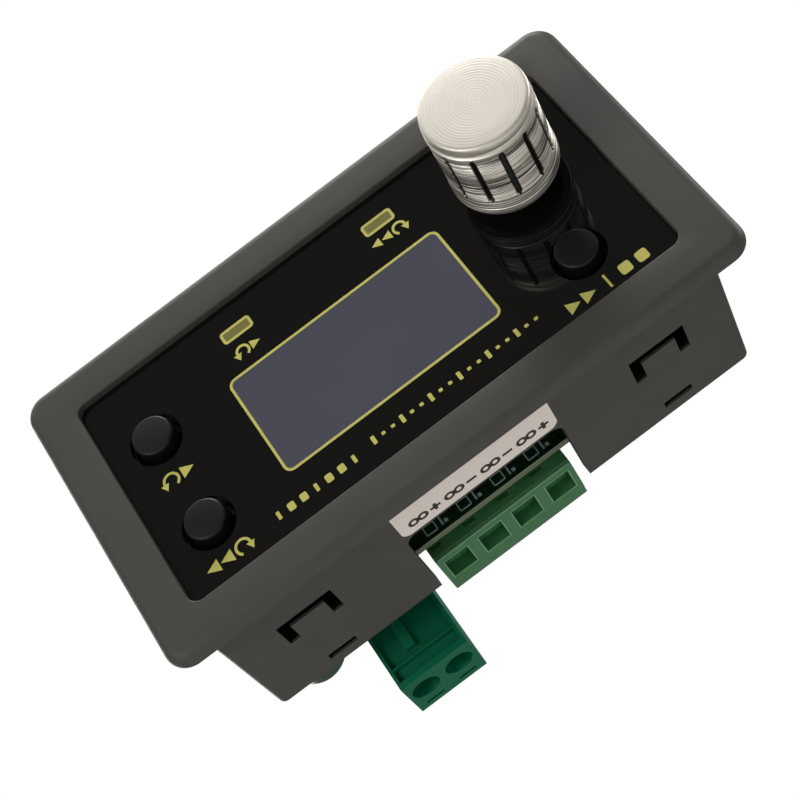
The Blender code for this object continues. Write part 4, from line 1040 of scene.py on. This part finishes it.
class MODULE_OT_connectors(bpy.types.Operator):
    """Dress the output terminal, the supply plug and socket, and their screws and clamps"""

    bl_idname = "module.connectors"
    bl_label = "Connectors"

    def execute(self, context):
        terminal = dressed_node("output_terminal", "terminal", 0.12, 2)
        terminal.modifiers.clear()
        foot, front = TERMINAL_LOW[2], TERMINAL_LOW[1]
        cut_away(terminal, "terminal_notches", [((x - 2.2, front - 0.5, foot + 1.5),
                                                 (x - 0.6, front + 0.45, foot + 2.3))
                                                for x, _, _, _ in pole_windows()])
        soften_edges(terminal, 0.12)
        # Rims round the wire windows and a lip along the front edge, in lighter green: a painted highlight on
        # the edges.
        rims = [floor_plate("rim", ring_outlines((x, y), width + 0.4, depth + 0.4, 0.12, 0.16), foot - 0.07,
                            foot + 0.1, 0.03) for x, y, width, depth in pole_windows()]
        lip = solid("lip", block((TERMINAL_LOW[0] + 0.3, front - 0.02, foot - 0.09),
                                 (TERMINAL_HIGH[0] - 0.3, front + 0.16, foot + 0.1), 0.03))
        place_piece("terminal_rims", welded(merged_mesh("terminal_rims", [*rims, lip])),
                    "terminal_rim", "case")
        floors = welded(merged_mesh("wire_guides", guide_floors()))
        place_piece("wire_guides", floors, "terminal", "case")
        dressed_node("supply_socket", "plug", 0.12)
        dressed_node("supply_plug", "plug", 0.12)
        for kind, count in (("output", 4), ("supply", 2)):
            for number in range(1, count + 1):
                dressed_node("%s_screw_%d" % (kind, number), "steel", 0.08)
                dressed_node("%s_clamp_%d" % (kind, number), "brass", 0.06)
        return {"FINISHED"}


class MODULE_OT_sticker(bpy.types.Operator):
    """Build the terminal sticker and its printed signs"""

    bl_idname = "module.sticker"
    bl_label = "Sticker"

    def execute(self, context):
        middle = (STICKER_LOW + STICKER_HIGH) / 2
        size = STICKER_HIGH - STICKER_LOW
        outline = rounded_rectangle(size[0], size[1], 1.2) + middle[[0, 1]]
        sheet = floor_plate("sticker_sheet", [outline], STICKER_LOW[2], STICKER_HIGH[2], 0.03)
        place_piece("sticker_sheet", sheet, "sticker", "case",
                    ("terminal_sticker",), 2.0)
        marks = []
        below, above = STICKER_LOW[2] - 0.012, STICKER_LOW[2] + 0.02
        row = STICKER_HIGH[1] - 1.9
        for index, x in enumerate(POLE_PLACES):
            for turn in range(2):
                place = (x - 1.25 + turn * 1.3, row)
                marks.append(floor_plate("coil", [circle(place, 0.74, 28), circle(place, 0.34, 28)], below,
                                         above, 0.004))
            marks.append(floor_plate("sign", bar((x + 1.8, row), 1.4, 0.44), below, above, 0.004))
            if index in (0, 3):
                marks.append(floor_plate("sign", bar((x + 1.8, row), 0.44, 1.4), below - 0.004, above,
                                         0.004))
        place_piece("sticker_printing", merged_mesh("sticker_printing", marks), "sticker_ink",
                    "case")
        return {"FINISHED"}


# Studio

CAMERA_PLACE = (-2.17, -173.60, -123.62)
CAMERA_TURN = (129.399, 30.157, 22.331)
CAMERA_LENS = 82.9


def softbox(name, place, aim, size, power):
    """A square soft light at a place, turned to face another, both in metres."""
    light = bpy.data.lights.new(name, "AREA")
    light.shape = "RECTANGLE"
    light.size = light.size_y = size
    light.energy = power
    lamp = linked(name, light)
    lamp.location = place
    lamp.rotation_euler = (Vector(aim) - Vector(place)).to_track_quat("-Z", "Y").to_euler()
    return lamp


def room(strength):
    """A white room: bright where it is looked at, and dimmer as a light."""
    world = bpy.data.worlds.new("white_room")
    world.use_nodes = True
    tree = world.node_tree
    tree.nodes.clear()
    path = add_node(tree, "ShaderNodeLightPath")
    level = add_node(tree, "ShaderNodeMapRange", {"Value": path.outputs["Is Camera Ray"], "To Min": strength,
                                                  "To Max": 1.0}).outputs[0]
    glow = add_node(tree, "ShaderNodeBackground", {"Color": (1.0, 1.0, 1.0, 1.0), "Strength": level})
    out = add_node(tree, "ShaderNodeOutputWorld")
    tree.links.new(glow.outputs[0], out.inputs[0])
    bpy.context.scene.world = world


class MODULE_OT_stage(bpy.types.Operator):
    """Set the floor, the lights and the camera"""

    bl_idname = "module.stage"
    bl_label = "Stage"

    def execute(self, context):
        settings = context.scene.module_stage
        room(settings.ambient)
        drop, reach = settings.floor_drop / MM, 1500.0
        corners = np.array([[[-reach, -reach, -drop], [reach, -reach, -drop]],
                            [[-reach, reach, -drop], [reach, reach, -drop]]])
        floor_mesh = grid_mesh("studio_floor", corners[:, ::-1], closed_columns=False)
        floor_mesh.materials.append(plastic("pale_studio_paper", "#f2f2f0", 0.8, 0.5, 0.01))
        floor = linked("studio_floor", floor_mesh)
        [softbox(*row) for row in (
            ("main_softbox", (-0.38, -0.50, -0.06), (0, 0, 0), 0.3, settings.key_power),
            ("high_softbox", (0.14, -0.17, 0.44), (0.02, 0, 0), 0.18, 1.25),
            ("overhead_softbox", (0.0, 0.1, 1.2), (0, 0.1, 0), 1.2, settings.overhead_power),
            ("side_softbox", (0.6, 0.1, 0.2), (0, 0, 0), 0.3, 1.5),
            ("rear_softbox", (-0.3, 0.5, 0.3), (0, 0, 0), 0.5, 3.0))]

        camera_data = bpy.data.cameras.new("camera")
        camera_data.lens = CAMERA_LENS
        camera_data.sensor_width = 36.0
        camera_data.clip_start, camera_data.clip_end = 0.01, 10.0
        camera = linked("camera", camera_data)
        camera.location = Vector(CAMERA_PLACE) * MM
        camera.rotation_euler = Euler([math.radians(angle) for angle in CAMERA_TURN], "XYZ")
        context.scene.camera = camera
        context.scene.view_settings.view_transform = "Standard"
        return {"FINISHED"}


class MODULE_PT_panel(bpy.types.Panel):
    """The module's builders and settings"""

    bl_label = "Driver Module"
    bl_space_type = "VIEW_3D"
    bl_region_type = "UI"
    bl_category = "Driver Module"

    def draw(self, context):
        for operator in OPERATORS:
            self.layout.operator(operator.bl_idname)
        for name in SETTINGS:
            group = getattr(context.scene, name)
            box = self.layout.box()
            for key in group.bl_rna.properties.keys():
                if key not in ("rna_type", "name"):
                    box.prop(group, key)


OPERATORS = (MODULE_OT_housing, MODULE_OT_panel, MODULE_OT_buttons, MODULE_OT_knob, MODULE_OT_boards,
             MODULE_OT_connectors, MODULE_OT_sticker, MODULE_OT_stage)
SETTINGS = {"module_moulding": MouldingSizes, "module_knob": KnobSizes, "module_panel": PanelColours,
            "module_connectors": ConnectorColours, "module_stage": StageSettings}


def register():
    for group in SETTINGS.values():
        bpy.utils.register_class(group)
    for operator in OPERATORS:
        bpy.utils.register_class(operator)
    bpy.utils.register_class(MODULE_PT_panel)
    for name, group in SETTINGS.items():
        setattr(bpy.types.Scene, name, bpy.props.PointerProperty(type=group))


def unregister():
    for name in SETTINGS:
        delattr(bpy.types.Scene, name)
    bpy.utils.unregister_class(MODULE_PT_panel)
    for cls in (*OPERATORS, *SETTINGS.values()):
        bpy.utils.unregister_class(cls)


def main():
    """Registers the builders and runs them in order."""
    register()
    make_finishes(bpy.context.scene)
    for operator in OPERATORS:
        module, action = operator.bl_idname.split(".")
        getattr(getattr(bpy.ops, module), action)()


if __name__ == "__main__":
    main()
